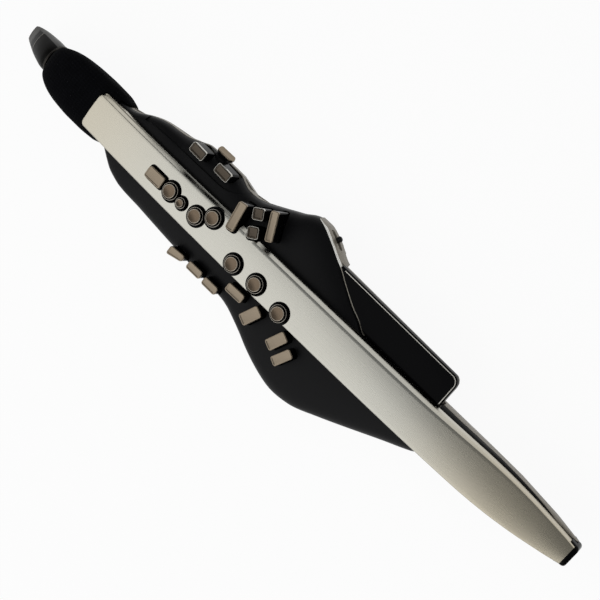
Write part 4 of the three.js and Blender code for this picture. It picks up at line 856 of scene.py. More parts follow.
# Lines of the body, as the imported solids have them

@dataclass
class BodyLines:
    """The body's outline, depth and bow along its length, in the plan's millimetres."""

    crown_y: float = 270.0
    panel_top: float = 474.0
    panel_foot: float = 3.8
    panel_half_width: float = 16.3
    panel_height: float = 9.0
    head_drop: float = 7.8
    foot_drop: float = 23.0
    bow_power: float = 2.9
    neck_top: float = 480.0
    neck_half_width: float = 17.6
    wing_foot: float = 118.0
    wing_neck: float = 456.0
    left_reach: float = 64.7
    right_reach: float = 55.3
    band_depth: float = 26.0
    foot_band_depth: float = 15.0
    rear_depth: float = 44.0
    foot_rear_depth: float = 23.5
    foot_round: float = 30.0
    foot_fall: float = 45.0
    margin: float = 1.5
    gap: float = 0.3
    past_heights: Pair = (-80.0, 20.0)
    ridge: tuple[Pair, ...] = (
        (0.253, 0.278), (0.282, 0.371), (0.309, 0.443), (0.349, 0.584), (0.382, 0.711), (0.402, 0.774),
        (0.423, 0.845), (0.443, 0.905), (0.466, 0.962), (0.491, 0.985),
    )
    swell: tuple[float, ...] = (1.15, 1.15, 1.15, 1.15, 1.15, 1.15, 1.14, 1.11, 1.07, 1.01)
    right_head: tuple[Pair, ...] = (
        (0.507, 0.953), (0.525, 0.88), (0.542, 0.83), (0.57, 0.745), (0.592, 0.68), (0.61, 0.635), (0.637, 0.61),
        (0.655, 0.61), (0.677, 0.645), (0.695, 0.68), (0.79, 0.675), (0.815, 0.62), (0.84, 0.57), (0.868, 0.54),
        (0.895, 0.522), (0.92, 0.485), (0.946, 0.42), (0.968, 0.35), (0.985, 0.315), (1, 0.31),
    )

    def __post_init__(self) -> None:
        """Makes the smooth tables."""
        self.panel_shares = smooth_table((
            (0, 0.44), (0.01, 0.5), (0.027, 0.59), (0.053, 0.7), (0.09, 0.84), (0.135, 0.95), (0.19, 1),
            (0.6, 1), (0.8, 0.96), (1, 0.93),
        ))
        self.left_shares = smooth_table((
            (0, 0.27), (0.024, 0.36), (0.09, 0.52), (0.178, 0.735), (0.225, 0.845), (0.275, 0.955), (0.312, 0.994),
            (0.334, 1), (0.363, 0.981), (0.399, 0.926), (0.438, 0.842), (0.47, 0.759), (0.509, 0.674),
            (0.528, 0.64), (0.553, 0.615), (0.733, 0.57), (0.85, 0.532), (0.9, 0.506), (0.922, 0.478),
            (0.943, 0.44), (0.967, 0.365), (0.986, 0.3), (1, 0.27),
        ))
        swollen = tuple((along, reach * grow) for (along, reach), grow in zip(self.ridge, self.swell))
        self.right_shares = smooth_table(swollen + self.right_head)
        self.ridge_shares = smooth_table(self.ridge)
        self.band_shares = smooth_table(((0, 0), (0.1, 0.25), (0.2, 0.6), (0.3, 0.95), (0.36, 1), (1, 1)))
        self.neck_shares = smooth_table(((0.8, 1), (0.88, 0.85), (0.94, 0.6), (1, 0.45)))
        self.round_shares = smooth_table((
            (0, 6), (0.19, 6), (0.25, 3), (0.5, 3), (0.6, 4), (0.84, 4), (0.9, 6), (1, 6),
        ))

    def wing_length(self) -> float:
        """Length of the wings."""
        return self.wing_neck - self.wing_foot

    def wing_y(self, share: float) -> float:
        """The place along the body of a share of the wings' length."""
        return self.wing_foot + share * self.wing_length()

    def bow(self, y: float) -> float:
        """Height of the panel's crown line."""
        if y > self.crown_y:
            return -self.head_drop * ((y - self.crown_y) / (self.panel_top - self.crown_y)) ** self.bow_power
        return -self.foot_drop * ((self.crown_y - y) / self.crown_y) ** self.bow_power

    def panel_half(self, y: float) -> float:
        """Half the panel's width."""
        return self.panel_half_width * self.panel_shares(y / self.panel_top)

    def body_edge(self, y: float) -> float:
        """Reach of the casing beside the panel."""
        return min(self.panel_half(y) + self.margin, self.neck_half_width)

    def _wing(self, shares: Callable[[float], float], reach: float, y: float) -> float:
        """Reach of a wing."""
        return reach * shares((y - self.wing_foot) / self.wing_length()) if y > self.wing_foot else 0.0

    def left(self, y: float) -> float:
        """Reach of the casing to the left."""
        return max(self.body_edge(y), self._wing(self.left_shares, self.left_reach, y))

    def right(self, y: float) -> float:
        """Reach of the front casing to the right."""
        return max(self.body_edge(y), self._wing(self.right_shares, self.right_reach, y))

    def foot_share(self, y: float) -> float:
        """Share of the depth that is left where the foot rounds off."""
        past = max(self.foot_round - y, 0.0)
        return math.sqrt(1 - (past / self.foot_fall) ** 2)

    def depth_share(self, y: float) -> float:
        """Share of the full depth."""
        along = y / self.panel_top
        return self.band_shares(along) * self.neck_shares(along)

    def parting(self, y: float) -> float:
        """Height of the seam between both casings."""
        depth = self.foot_band_depth + (self.band_depth - self.foot_band_depth) * self.depth_share(y)
        return self.bow(y) - depth * self.foot_share(y)

    def rear(self, y: float) -> float:
        """Height of the back."""
        depth = self.foot_rear_depth + (self.rear_depth - self.foot_rear_depth) * self.depth_share(y)
        return self.bow(y) - depth * self.foot_share(y)

    def crest(self, y: float) -> float:
        """Height of the wings beside the panel."""
        return self.bow(y) - self.panel_height - self.gap

    def roundness(self, y: float) -> float:
        """How squared-off the front casing's section is."""
        return self.round_shares(y / self.panel_top)

    def arch(self, y: float, left: float, right: float, edge: float, crest: float, steps: int) -> list[Vector]:
        """Half of a squared-off ellipse from the left edge over its crest to the right edge."""
        points = []
        for i in range(steps + 1):
            across, up = squared(math.pi * (1 - i / steps), self.roundness(y))
            points.append((across * (left if 2 * i < steps else right), edge + (crest - edge) * up))
        return upright(y, points)

    def beyond_ridge(self, gap: float, foot: float) -> Form:
        """What lies beyond the ridge of the right wing."""
        far = 2 * self.right_reach
        shares = spread(self.ridge[0][0], self.ridge[-1][0], 40)
        line = [(self.right_reach * self.ridge_shares(share) + gap, self.wing_y(share)) for share in shares]
        head = line[-1][1]
        return prism([(line[0][0], foot), (far, foot), (far, head), *reversed(line)], *self.past_heights)


LINES = BodyLines()


# Keys

@dataclass(frozen=True)
class Touch:
    """What every key has: its node, its place and its room in the casing."""

    node: str

    turn = 0.0

    def place(self) -> Matrix:
        """The key's place, from the middle of its node's top."""
        low, high = LAYOUT.plan_box(self.node)
        return moved((low.x + high.x) / 2, (low.y + high.y) / 2, high.z, self.turn)

    def room(self, growth: float) -> Form:
        """The key's outline, grown evenly, as high as its room in the casing."""
        raise NotImplementedError

    def piece(self, kind: str, form: Form, slot: Slot, **dress: Union[float, Finish, tuple, None]) -> None:
        """Makes one piece of the key at the key's place."""
        make_piece(f"{self.node}_{kind}", placed(form, self.place()), Dress(self.node, slot, **dress))


@dataclass(frozen=True)
class RoundTouch(Touch):
    """A round key: a black body, a bright collar edge and a dished pad."""

    radius: float = 7.0
    pad: float = 5.15
    collar: float = 6.35
    bead: float = 0.21
    depth: float = 21.0
    wall: float = 1.4
    side_gap: float = 0.12
    step: float = 1.7
    lip: float = 0.62
    dish: float = 0.55
    sides: int = 56

    def room(self, growth: float) -> Form:
        """The key's outline, grown evenly, as high as its room in the casing."""
        return disc(self.radius + growth, KEY_ROOM_FOOT, KEY_ROOM_HEAD, self.sides)

    def build(self) -> None:
        """Builds the four pieces at the node's place."""
        inner = self.pad - self.lip
        metal = {"slot": Slot.NICKEL, "crease": 50.0}
        self.piece("core", self._core(), Slot.GLOSS, replaced=(self.node,))
        self.piece("collar", self._collar(), Slot.CHROME, finish=COLLAR_METAL)
        # Paler rim as painted highlight, darker dish as painted shade, on the same nickel pad.
        self.piece("rim", self._rim(inner - 0.1), finish=PALE_NICKEL, **metal)
        self.piece("dish", self._dish(inner - 0.06), finish=DISH_NICKEL, **metal)

    def _core(self) -> Form:
        """Black body, hollow from below, with a stepped shoulder."""
        outer, shoulder = self.radius - self.side_gap, -self.step - 0.05
        inner, floor = outer - self.wall, shoulder - 0.2
        return turned([
            (0, -2.75), (inner, -2.75), (inner, -self.depth), (outer, -self.depth), (outer, shoulder - 0.3),
            (outer - 0.35, shoulder), (self.pad + 0.1, shoulder), (self.pad - 0.2, floor), (0, floor),
        ], self.sides)

    def _collar(self) -> Form:
        """Thin bright bead let into the body's shoulder."""
        return turned(arc((self.collar, -self.step + 0.02), self.bead, 0.0, FULL_TURN, 12)[:-1], self.sides)

    def _rim(self, inner: float) -> Form:
        """Rolled rim of the pad."""
        rim, half, foot = self.pad, self.lip / 2, -self.step - 0.2
        profile = [(inner, foot), (rim, foot), (rim + 0.04, -0.8), (rim, -half)]
        profile += arc((rim - half, -half), half, 0.25, math.pi - 0.2, 8)
        return turned([*profile, (inner, -half - 0.3)], self.sides)

    def _dish(self, edge: float) -> Form:
        """Hollowed metal pad inside the rim."""
        foot, top = -self.step - 0.3, -self.lip / 2 - 0.05
        profile = [(0, foot), (edge, foot), (edge, top)]
        profile += [(edge * (1 - share), top - self.dish * math.sin(share * QUARTER)) for share in spread(0.1, 1.0, 9)]
        return turned(profile, self.sides)


@dataclass(frozen=True)
class BarTouch(Touch):
    """A bar key: a metal cap with a rounded edge on a black body."""

    width: float
    length: float
    turn: float = 0.0
    flare: float = 0.0
    lean: float = 0.0
    rim: bool = False
    radius: float = 1.8
    least_radius: float = 0.4
    cap: float = 2.3
    roll: float = 0.62
    frame_width: float = 0.44
    wall: float = 1.4

    def outline(self, inset: float) -> list[Pair]:
        """The key's outline, drawn in evenly."""
        width, length = self.width - 2 * inset, self.length - 2 * inset
        points = rounded_outline(width, length, max(self.radius - inset, self.least_radius))
        return [(x * (1 + self.flare * y / self.length) + self.lean * y, y) for x, y in points]

    def room(self, growth: float) -> Form:
        """The key's outline, grown evenly, as high as its room in the casing."""
        return prism(self.outline(-growth), KEY_ROOM_FOOT, KEY_ROOM_HEAD)

    def build(self) -> None:
        """Builds the cap and the body, and the rim where the key has one."""
        self.piece("core", self._core(), Slot.GLOSS, replaced=(self.node,), edge=0.15)
        if self.rim:
            self.piece("rim", self._frame(), Slot.CHROME, edge=0.12)
        # The dark cap is the low keys' own tone, and painted shade on the palm keys.
        self.piece("cap", self._cap(), Slot.NICKEL, finish=DARK_NICKEL if self.rim else None, crease=28.0)

    def rows(self, steps: Sequence[Pair]) -> Form:
        """Skins the outline at pairs of inset and height."""
        return loft([[Vector((x, y, z)) for x, y in self.outline(inset)] for inset, z in steps])

    def _core(self) -> Form:
        """Black body below the cap, as deep as its node and hollow from below."""
        low, high = LAYOUT.plan_box(self.node)
        foot, shoulder = low.z - high.z, -self.cap + 0.2
        return self.rows((
            (self.wall, -2.8), (self.wall, foot), (0.15, foot), (0.15, -self.cap - 0.05), (0.5, shoulder),
            (1.2, shoulder),
        ))

    def _cap(self) -> Form:
        """Metal cap with a rolled edge and a slightly sunk top."""
        start = 0.5 if self.rim else 0.0
        flat = start + self.roll
        steps = [(start + 0.9, -self.cap + 0.3), (start, -self.cap + 0.2), (start, -self.roll)]
        steps += arc((flat, -self.roll), (-self.roll, self.roll), 0.0, QUARTER, 5)[1:]
        steps += [(flat + 0.25, -0.02), (flat + 0.55, -0.13), (flat + 1.0, -0.2)]
        return self.rows(steps)

    def _frame(self) -> Form:
        """Bright frame around a dark cap."""
        outer = self.rows(((0.0, -self.cap), (0.0, -0.35), (0.16, -0.14)))
        inner = self.rows(((self.frame_width, -self.cap - 1.0), (self.frame_width, 1.0)))
        return (Solid(outer) - Solid(inner)).form()


FINGERS = ("index", "middle", "ring")
TOUCHES = (
    *(RoundTouch(f"key_{hand}_{finger}") for hand in ("left", "right") for finger in FINGERS),
    RoundTouch("key_bis", radius=4.4, pad=3.0, collar=3.9),
    BarTouch("key_front_f", 9.4, 16.2),
    BarTouch("key_g_sharp", 22.4, 7.4, 8.5),
    BarTouch("key_low_c_sharp", 9.0, 9.0, 30.0, rim=True),
    BarTouch("key_low_b", 9.0, 9.0, 30.0, rim=True),
    BarTouch("key_low_b_flat", 22.4, 6.4, 26.0),
    BarTouch("key_fork_f_sharp", 7.0, 16.2, 1.0),
    BarTouch("key_right_trill", 16.2, 9.2, -24.0),
    BarTouch("key_e_flat", 16.2, 8.8, -24.0),
    BarTouch("key_low_c", 16.2, 7.6, -26.0),
    BarTouch("key_side_upper", 6.4, 13.9, 0.0, 0.35, -0.15),
    BarTouch("key_side_middle", 6.4, 13.9),
    BarTouch("key_side_lower", 6.4, 13.9),
    # The palm keys' dark caps are painted shade, as they face away from the light.
    BarTouch("key_palm_upper", 7.9, 13.9, -3.0, rim=True),
    BarTouch("key_palm_lower", 7.9, 13.9, -3.0, rim=True),
)


def key_cutter(growth: float) -> Solid:
    """Every key's outline, grown evenly, as one solid through the front.

    Args:
        growth: How far the outline stands off the key.

    Returns:
        The cutter.
    """
    whole: Optional[Solid] = None
    for touch in TOUCHES:
        place = touch.place()
        place.translation.z = 0
        part = Solid(placed(touch.room(growth), place))
        whole = part if whole is None else whole + part
    return whole


# Front

@dataclass
class FrontPanel:
    """The bowed channel of brushed metal, with a well around each key."""

    wall: float = 1.5
    crown: float = 0.35
    left_radius: float = 1.3
    fall_slope: float = 1.4
    ledge_rows: Pair = (312.0, 332.0)
    ledge: tuple[Pair, ...] = (
        (0.0, 4.95), (0.06, 4.62), (0.28, 4.42), (0.6, 4.3), (0.86, 4.12), (1.15, 3.2), (1.5, 2.1), (1.85, 1.0),
        (2.1, 0.2), (2.35, 0.0),
    )
    corner: float = 3.0
    corner_steps: int = 8
    crown_steps: int = 14
    inner_radius: float = 2.6
    bulge: float = 0.22
    well_clearance: float = 1.5
    rim: float = 0.22

    def half(self, y: float) -> float:
        """Half the width in plan, with the rounded upper corners."""
        past = max(y - (LINES.panel_top - self.corner), 0.0)
        inset = self.corner - math.sqrt(max(self.corner ** 2 - past ** 2, 0.0))
        return LINES.panel_half(y) - inset

    def __post_init__(self) -> None:
        """Makes the smooth table of the fall's width along the body."""
        self.fall = smooth_table((
            (0, 0.9), (60, 1.2), (105, 2.0), (150, 2.7), (260, 2.5), (330, 2.3), (474, 2.1),
        ))

    def edge(self, y: float) -> list[Pair]:
        """Steps of the right edge, in from the side and down: a broad slope, or above the keys a steep one on a ledge.

        Args:
            y: The place along the body.

        Returns:
            Pairs of inset and drop, from the side to the top.
        """
        wide = self.fall(y)
        deep = wide * self.fall_slope
        slope = [(0.0, deep + 0.3), (0.06, deep)]
        for share in spread(0.08, 0.88, 6):
            bulge = self.bulge * math.sin(share * math.pi)
            slope.append((wide * share - bulge * 0.8, deep * (1 - share) - bulge * 0.6))
        slope += [(wide - 0.1, 0.06), (wide + 0.15, 0.0)]
        low, high = self.ledge_rows
        blend = min(max((y - low) / (high - low), 0.0), 1.0)
        return [(a + (c - a) * blend, b + (d - b) * blend) for (a, b), (c, d) in zip(slope, self.ledge)]

    def face_ring(self, y: float) -> list[Vector]:
        """Outer section of the channel."""
        half, top, radius, edge = self.half(y), LINES.bow(y), self.left_radius, self.edge(y)
        low, lifted, flat = top - LINES.panel_height, top - self.crown, half - radius
        points = [(-half, low), (half, low)] + [(half - inset, lifted - down) for inset, down in edge]
        for x in spread(half - edge[-1][0] - 0.25, -flat, self.crown_steps):
            points.append((x, top - self.crown * (x / flat) ** 2))
        return upright(y, points + arc((-flat, lifted - radius), radius, QUARTER, math.pi, 7)[1:])

    def ring(self, y: float, half: float, sink: float, deep: float, radius: float) -> list[Vector]:
        """Section of a plain channel at a place along the body."""
        top, low, flat = LINES.bow(y) - sink, LINES.bow(y) - deep, half - radius
        points = [(-half, low), (half, low), *arc((flat, top - radius), radius, 0.0, QUARTER, 7)]
        points += [(x, top) for x in spread(flat, -flat, self.crown_steps)[1:-1]]
        return upright(y, points + arc((-flat, top - radius), radius, QUARTER, math.pi, 7))

    def rows(self) -> list[float]:
        """Places of the sections, closer at the rounded corners."""
        start = LINES.panel_top - self.corner
        return spread(LINES.panel_foot, start, 150) + [
            start + self.corner * math.sin(angle) for angle in spread(0, QUARTER, self.corner_steps)[1:]
        ]

    def build(self) -> None:
        """Lofts the channel, hollows it and cuts the wells."""
        foot, deep = LINES.panel_foot, LINES.panel_height + 3.0
        inner_rows = [foot - 3.0, *self.rows()[:-self.corner_steps], LINES.panel_top - self.wall]
        outer = Solid(loft([self.face_ring(y) for y in self.rows()]))
        inner = Solid(loft([
            self.ring(y, self.half(max(y, foot)) - self.wall, self.wall, deep, self.inner_radius) for y in inner_rows
        ]))
        panel = outer - inner - key_cutter(self.well_clearance)
        make_piece("front_panel_skin", panel.form(), Dress(
            "body", Slot.PANEL, ("front_panel",), edge=self.rim, crease=30.0,
        ))


@dataclass
class FrontCasing:
    """The black casing: both wings, the ridge, the recess of the palm keys and the spine under the panel."""

    wall: float = 2.2
    recess: float = 1.6
    clearance: float = 0.5
    bay_foot: float = 131.5
    end_wall: float = 3.0
    skirt: float = 3.0
    spine_wall: float = 2.0
    spine_depth: float = 11.2
    spine_room_depth: float = 16.4
    steps: int = 48
    sections: int = 170
    recess_ends: Pair = (0.94, 0.62)
    recess_heights: Pair = (-68.0, 9.0)
    recess_line: tuple[Pair, ...] = (
        (0.62, 0.66), (0.655, 0.52), (0.69, 0.434), (0.75, 0.424), (0.83, 0.414), (0.885, 0.405), (0.925, 0.385),
        (0.94, 0.36),
    )

    def dome(self, inset: float = 0.0) -> Solid:
        """The wings' outer form, or the room in them when it is drawn in."""
        rows, end = [], self.end_wall if inset else 0
        for y in spread(LINES.panel_foot + end, LINES.neck_top - end, self.sections):
            edge, left, right = LINES.parting(y), LINES.left(y) - inset, LINES.right(y) - inset
            ring = LINES.arch(y, left, right, edge, LINES.crest(y) - inset, self.steps)
            if inset:
                low = edge - self.skirt
                ring = [Vector((-left, y, low)), *ring, Vector((right, y, low))]
            rows.append(ring)
        return Solid(loft(rows))

    def recess_room(self) -> Solid:
        """Room above the sunk strip that carries the palm keys."""
        reach, smooth = LINES.right_reach, smooth_table(self.recess_line)
        line = [(reach * smooth(share), LINES.wing_y(share)) for share in spread(*self.recess_ends, 40)]
        far = 2 * reach
        region = Solid(prism([*line, (far, line[-1][1]), (far, line[0][1])], *self.recess_heights))
        return region - self.dome().shifted(0, 0, -self.recess)

    def spine(self) -> Solid:
        """Raised middle under the panel, hollow below."""
        panel, wall = FrontPanel(), self.spine_wall
        head, sink = LINES.panel_top - 3.0, panel.wall + LINES.gap
        rows = [y for y in panel.rows() if y < head] + [head]
        outer = [panel.ring(y, LINES.panel_half(y) - sink, sink, self.spine_depth, 0.9) for y in rows]
        inner = [
            panel.ring(y, LINES.panel_half(y) - sink - wall, sink + wall, self.spine_room_depth, 0.45)
            for y in rows if LINES.panel_foot + self.end_wall < y < head - wall
        ]
        return Solid(loft(outer)) - Solid(loft(inner))

    def build(self) -> None:
        """Joins and cuts the parts of the casing."""
        palm = OuterPalmTouch()
        wing = self.dome() - Solid(LINES.beyond_ridge(0.0, self.bay_foot - LINES.gap))
        room = self.dome(self.wall) - Solid(LINES.beyond_ridge(-self.wall, self.bay_foot - self.wall))
        shell = (wing - self.recess_room()) + palm.pod() - room + self.spine()
        shell = shell - key_cutter(self.clearance) - palm.stem_room()
        make_piece("front_casing", shell.form(), Dress("body", Slot.SATIN, ("front_case",), edge=0.25, crease=32.0))


# Sides, head and foot

@dataclass
class SideBand:
    """Grey flank of the back that climbs the right side, between two places along the body."""

    name: str
    foot: float
    head: float
    climb: float
    thin_share: float = 0.4
    thin_run: float = 0.08
    sink: float = -0.3
    palm_share: float = 0.6
    palm_fade: float = 12.0
    proud: float = 0.18
    under: float = 0.5
    steps: int = 12

    def ring(self, y: float, fade: float) -> list[Vector]:
        """Section of the band: up the casing's flank and back inside it."""
        edge, reach, power = LINES.parting(y), LINES.right(y), LINES.roundness(y)
        height = LINES.crest(y) - edge
        top = math.asin(min(self.climb * fade / height, 0.9) ** (power / 2))
        flank = [squared(angle, power) for angle in spread(0.0, top, self.steps)]
        outside, inside = (
            [(across * reach + side, edge + height * up) for across, up in flank] for side in (self.proud, -self.under)
        )
        low = edge - self.sink
        return upright(y, [(reach + self.proud, low), *outside, *reversed(inside), (reach - self.under, low)])

    def build(self) -> None:
        """Lofts the band, which thins out towards its foot and stays low beside the palm keys."""
        low, _ = LAYOUT.plan_box("key_palm_lower")
        _, high = LAYOUT.plan_box("key_palm_upper")
        rows = []
        for share in spread(0.0, 1.0, 60):
            y = self.foot + share * (self.head - self.foot)
            fade = self.thin_share + (1 - self.thin_share) * min(1.0, share / self.thin_run)
            away = min(max(low.y - y, y - high.y, 0.0) / self.palm_fade, 1.0)
            rows.append(self.ring(y, fade * (self.palm_share + (1 - self.palm_share) * away)))
        make_piece(self.name, loft(rows), Dress("body", Slot.GREY, edge=0.12, crease=40.0))


@dataclass
class ShoulderWall:
    """The grey wall of the shoulder with its slot, and the thin lip that runs on along the ridge to the panel."""

    lip_width: float = 1.6
    lip_gap: float = 0.12
    lip_top: float = 0.55
    lip_foot_depth: float = 16.0
    wall_depth: float = 28.0
    cover: float = 0.15
    edge_width: float = 1.3
    slot_length: float = 16.4
    slot_width: float = 3.4
    slot_depth: float = 1.8
    slot_z: float = -21.0
    slot_share: float = 0.431
    slot_ends: Pair = (0.408, 0.458)
    lip_ends: Pair = (0.2535, 0.3835)
    line: tuple[Pair, ...] = (
        (0.382, 0.776), (0.393, 0.8), (0.408, 0.853), (0.423, 0.91), (0.458, 0.991), (0.4725, 1), (0.491, 1),
    )

    def outer(self, share: float) -> float:
        """Reach of the wall's outer face."""
        return LINES.right_reach * smooth_table(self.line)(share)

    def near(self, share: float) -> float:
        """Reach of the wall's inner edge, just outside the ridge."""
        return LINES.right_reach * LINES.ridge_shares(share) + self.lip_gap

    @staticmethod
    def wing_height(share: float) -> float:
        """Height of the wing's top at the ridge."""
        y = LINES.wing_y(share)
        across = min(LINES.right_reach * LINES.ridge_shares(share) / LINES.right(y), 0.995)
        power, edge = LINES.roundness(y), LINES.parting(y)
        return edge + (LINES.crest(y) - edge) * (1 - across ** power) ** (1 / power)

    def wall_section(self, share: float) -> list[Pair]:
        """Section of the leaning wall outside the ridge."""
        near, top, low = self.near(share), self.wing_height(share) - self.lip_top, -self.wall_depth
        far = max(self.outer(share) + self.cover, near + 0.5)
        width = far - near
        soft = min(0.9, width / 3)
        return [
            (near - 0.6, low), (near, top - 0.2), (near + soft * 0.3, top), (near + soft, top - soft * 0.35),
            (near + width * 0.55, top - width * 0.9), (far - 0.35, top - width * 1.9),
            (far, top - width * 2.6 - 0.8), (far, low + 0.6), (far - 0.6, low),
        ]

    def lip_section(self, share: float) -> list[Pair]:
        """Section of the thin lip along the ridge below the shoulder."""
        near, top, low = self.near(share), self.wing_height(share) - self.lip_top * 0.6, -self.lip_foot_depth
        width = self.lip_width * (0.45 + 0.55 * min(1.0, (share - self.lip_ends[0]) / 0.06))
        return [
            (near, low), (near, top - 0.25), (near + 0.2, top), (near + width * 0.5, top - 0.12),
            (near + width * 0.85, top - 0.5), (near + width, top - 1.1), (near + width, low),
        ]

    def edge_section(self, share: float) -> list[Pair]:
        """Section of the rolled edge where the wall meets the black wing, whose near-white paint is a painted
        highlight.
        """
        near, top = self.near(share), self.wing_height(share) - self.lip_top + 0.12
        width = min(self.edge_width, (self.outer(share) - near) * 0.55)
        roll = arc((near + width / 2, top - 0.15), (width / 2, width * 0.3), math.pi, 0.35, 7)
        return [(near, top - 2.5), (near, top - 0.15), *roll, (near + width, top - 2.5)]

    def slot(self) -> Solid:
        """Room of the slide switch."""
        low, high = self.slot_ends
        lean = math.atan2(self.outer(high) - self.outer(low), (high - low) * LINES.wing_length())
        outline = rounded_outline(self.slot_width, self.slot_length, self.slot_width / 2 - 0.01, 8)
        spot = (self.outer(self.slot_share) + self.cover, LINES.wing_y(self.slot_share), self.slot_z)
        place = Matrix.Translation(spot) @ Matrix.Rotation(-lean, 4, "Z") @ Matrix.Rotation(QUARTER, 4, "Y")
        return Solid(placed(prism(outline, -self.slot_depth, self.slot_depth * 2), place))

    @staticmethod
    def run(section: Callable[[float], list[Pair]], low: float, high: float) -> Form:
        """Lofts a section between two shares of the wings' length."""
        return loft([upright(LINES.wing_y(share), section(share)) for share in spread(low, high, 44)])

    def build(self) -> None:
        """Makes the wall with its slot, its rolled edge and the lip."""
        edge = self.run(self.edge_section, self.lip_ends[1], 0.487)
        # The rolled edge in near-white is a painted highlight along the wing's edge.
        make_piece("shoulder_edge", edge, Dress("body", Slot.GREY, finish=PAINTED_HIGHLIGHT_EDGE, crease=50.0))
        wall = Solid(self.run(self.wall_section, 0.3825, 0.49)) - self.slot()
        make_piece("shoulder_wall", wall.form(), Dress("body", Slot.GREY, edge=0.12, crease=32.0))
        lip = self.run(self.lip_section, *self.lip_ends)
        # The lip is the back's own grey, lightened as a painted highlight along the ridge.
        make_piece("ridge_lip", lip, Dress("body", Slot.GREY, finish=LIP_PAINT_WITH_HIGHLIGHT, crease=50.0))


@dataclass
class SideBay:
    """The glossy lid of the side bay and the bright line let into it."""

    inner_x: float = 10.0
    foot_y: float = 131.5
    head_y: float = 250.0
    foot_x: float = 40.4
    head_x: float = 42.6
    corner: float = 7.0
    top: float = -12.4
    bottom: float = -17.4
    edge: float = 0.9
    rim: float = 3.4
    plate: float = 2.0
    lid_end: float = 246.8
    trim_end: float = 243.0
    trim_inset: float = 1.0
    trim_width: float = 0.75
    trim_height: float = 1.4
    lip_gap: float = 0.35
    past_heights: Pair = (-40.0, 10.0)

    def wall_x(self, y: float) -> float:
        """Reach of the bay's outer wall."""
        return self.foot_x + (self.head_x - self.foot_x) * (y - self.foot_y) / (self.head_y - self.foot_y)

    def outline(self, inset: float) -> list[Pair]:
        """The bay's outline in plan, drawn in evenly."""
        foot, head, radius = self.foot_y + inset, self.head_y - inset, self.corner - inset
        centre = (self.wall_x(foot + radius) - inset - radius, foot + radius)
        return [
            (self.inner_x + inset, foot), *arc(centre, radius, -QUARTER, 0.0, 14),
            (self.wall_x(head) - inset, head), (self.inner_x + inset, head),
        ]

    def line_room(self, growth: float, low: float, high: float) -> Solid:
        """The bright line's ring, grown evenly."""
        outer = Solid(prism(self.outline(self.trim_inset - growth), low, high))
        inner = Solid(prism(self.outline(self.trim_inset + self.trim_width + growth), low - 1.0, high + 1.0))
        return outer - inner - self.past(self.trim_end + growth)

    def past(self, y: float) -> Solid:
        """Everything on the head's side of a place."""
        reach = 2 * self.head_x
        return Solid(prism([(-reach, y), (reach, y), (reach, y + reach), (-reach, y + reach)], *self.past_heights))

    def panel_room(self) -> Solid:
        """Room that the panel and the spine keep free."""
        return box_run([
            (y, LINES.panel_half(y) + LINES.gap, LINES.bow(y) - LINES.panel_height - 2.5, LINES.bow(y) + 1.0)
            for y in spread(self.foot_y - 5.0, self.head_y + 5.0, 60)
        ])

    def lid(self) -> Solid:
        """The lid with a rolled edge, hollow below."""
        shoulder = self.top - self.edge
        steps = [(0.0, self.bottom), *arc((self.edge, shoulder), (-self.edge, self.edge), 0.0, QUARTER, 6)]
        body = Solid(loft([[Vector((x, y, z)) for x, y in self.outline(inset)] for inset, z in steps]))
        room = Solid(prism(self.outline(self.rim), self.bottom - 3.0, self.top - self.plate))
        groove = self.line_room(0.25, self.top - self.trim_height - 0.3, self.top + 3.0)
        return body - room - groove - self.past(self.lid_end) - self.panel_room()

    def build(self) -> None:
        """Makes the lid and the bright line, both clear of the ridge and its lip."""
        lip = ShoulderWall().lip_width + self.lip_gap
        lid = self.lid() & Solid(LINES.beyond_ridge(lip, self.foot_y - LINES.gap))
        make_piece("lid_plate", lid.form(), Dress("body", Slot.GLOSS, ("bay_lid",), edge=0.15, crease=35.0))
        line = self.line_room(0.0, self.top - self.trim_height, self.top + 0.05) - self.panel_room()
        line = line & Solid(LINES.beyond_ridge(lip + 0.4, self.foot_y - LINES.gap))
        make_piece("bright_line", line.form(), Dress("body", Slot.CHROME, ("bay_trim",), edge=0.2, crease=35.0))


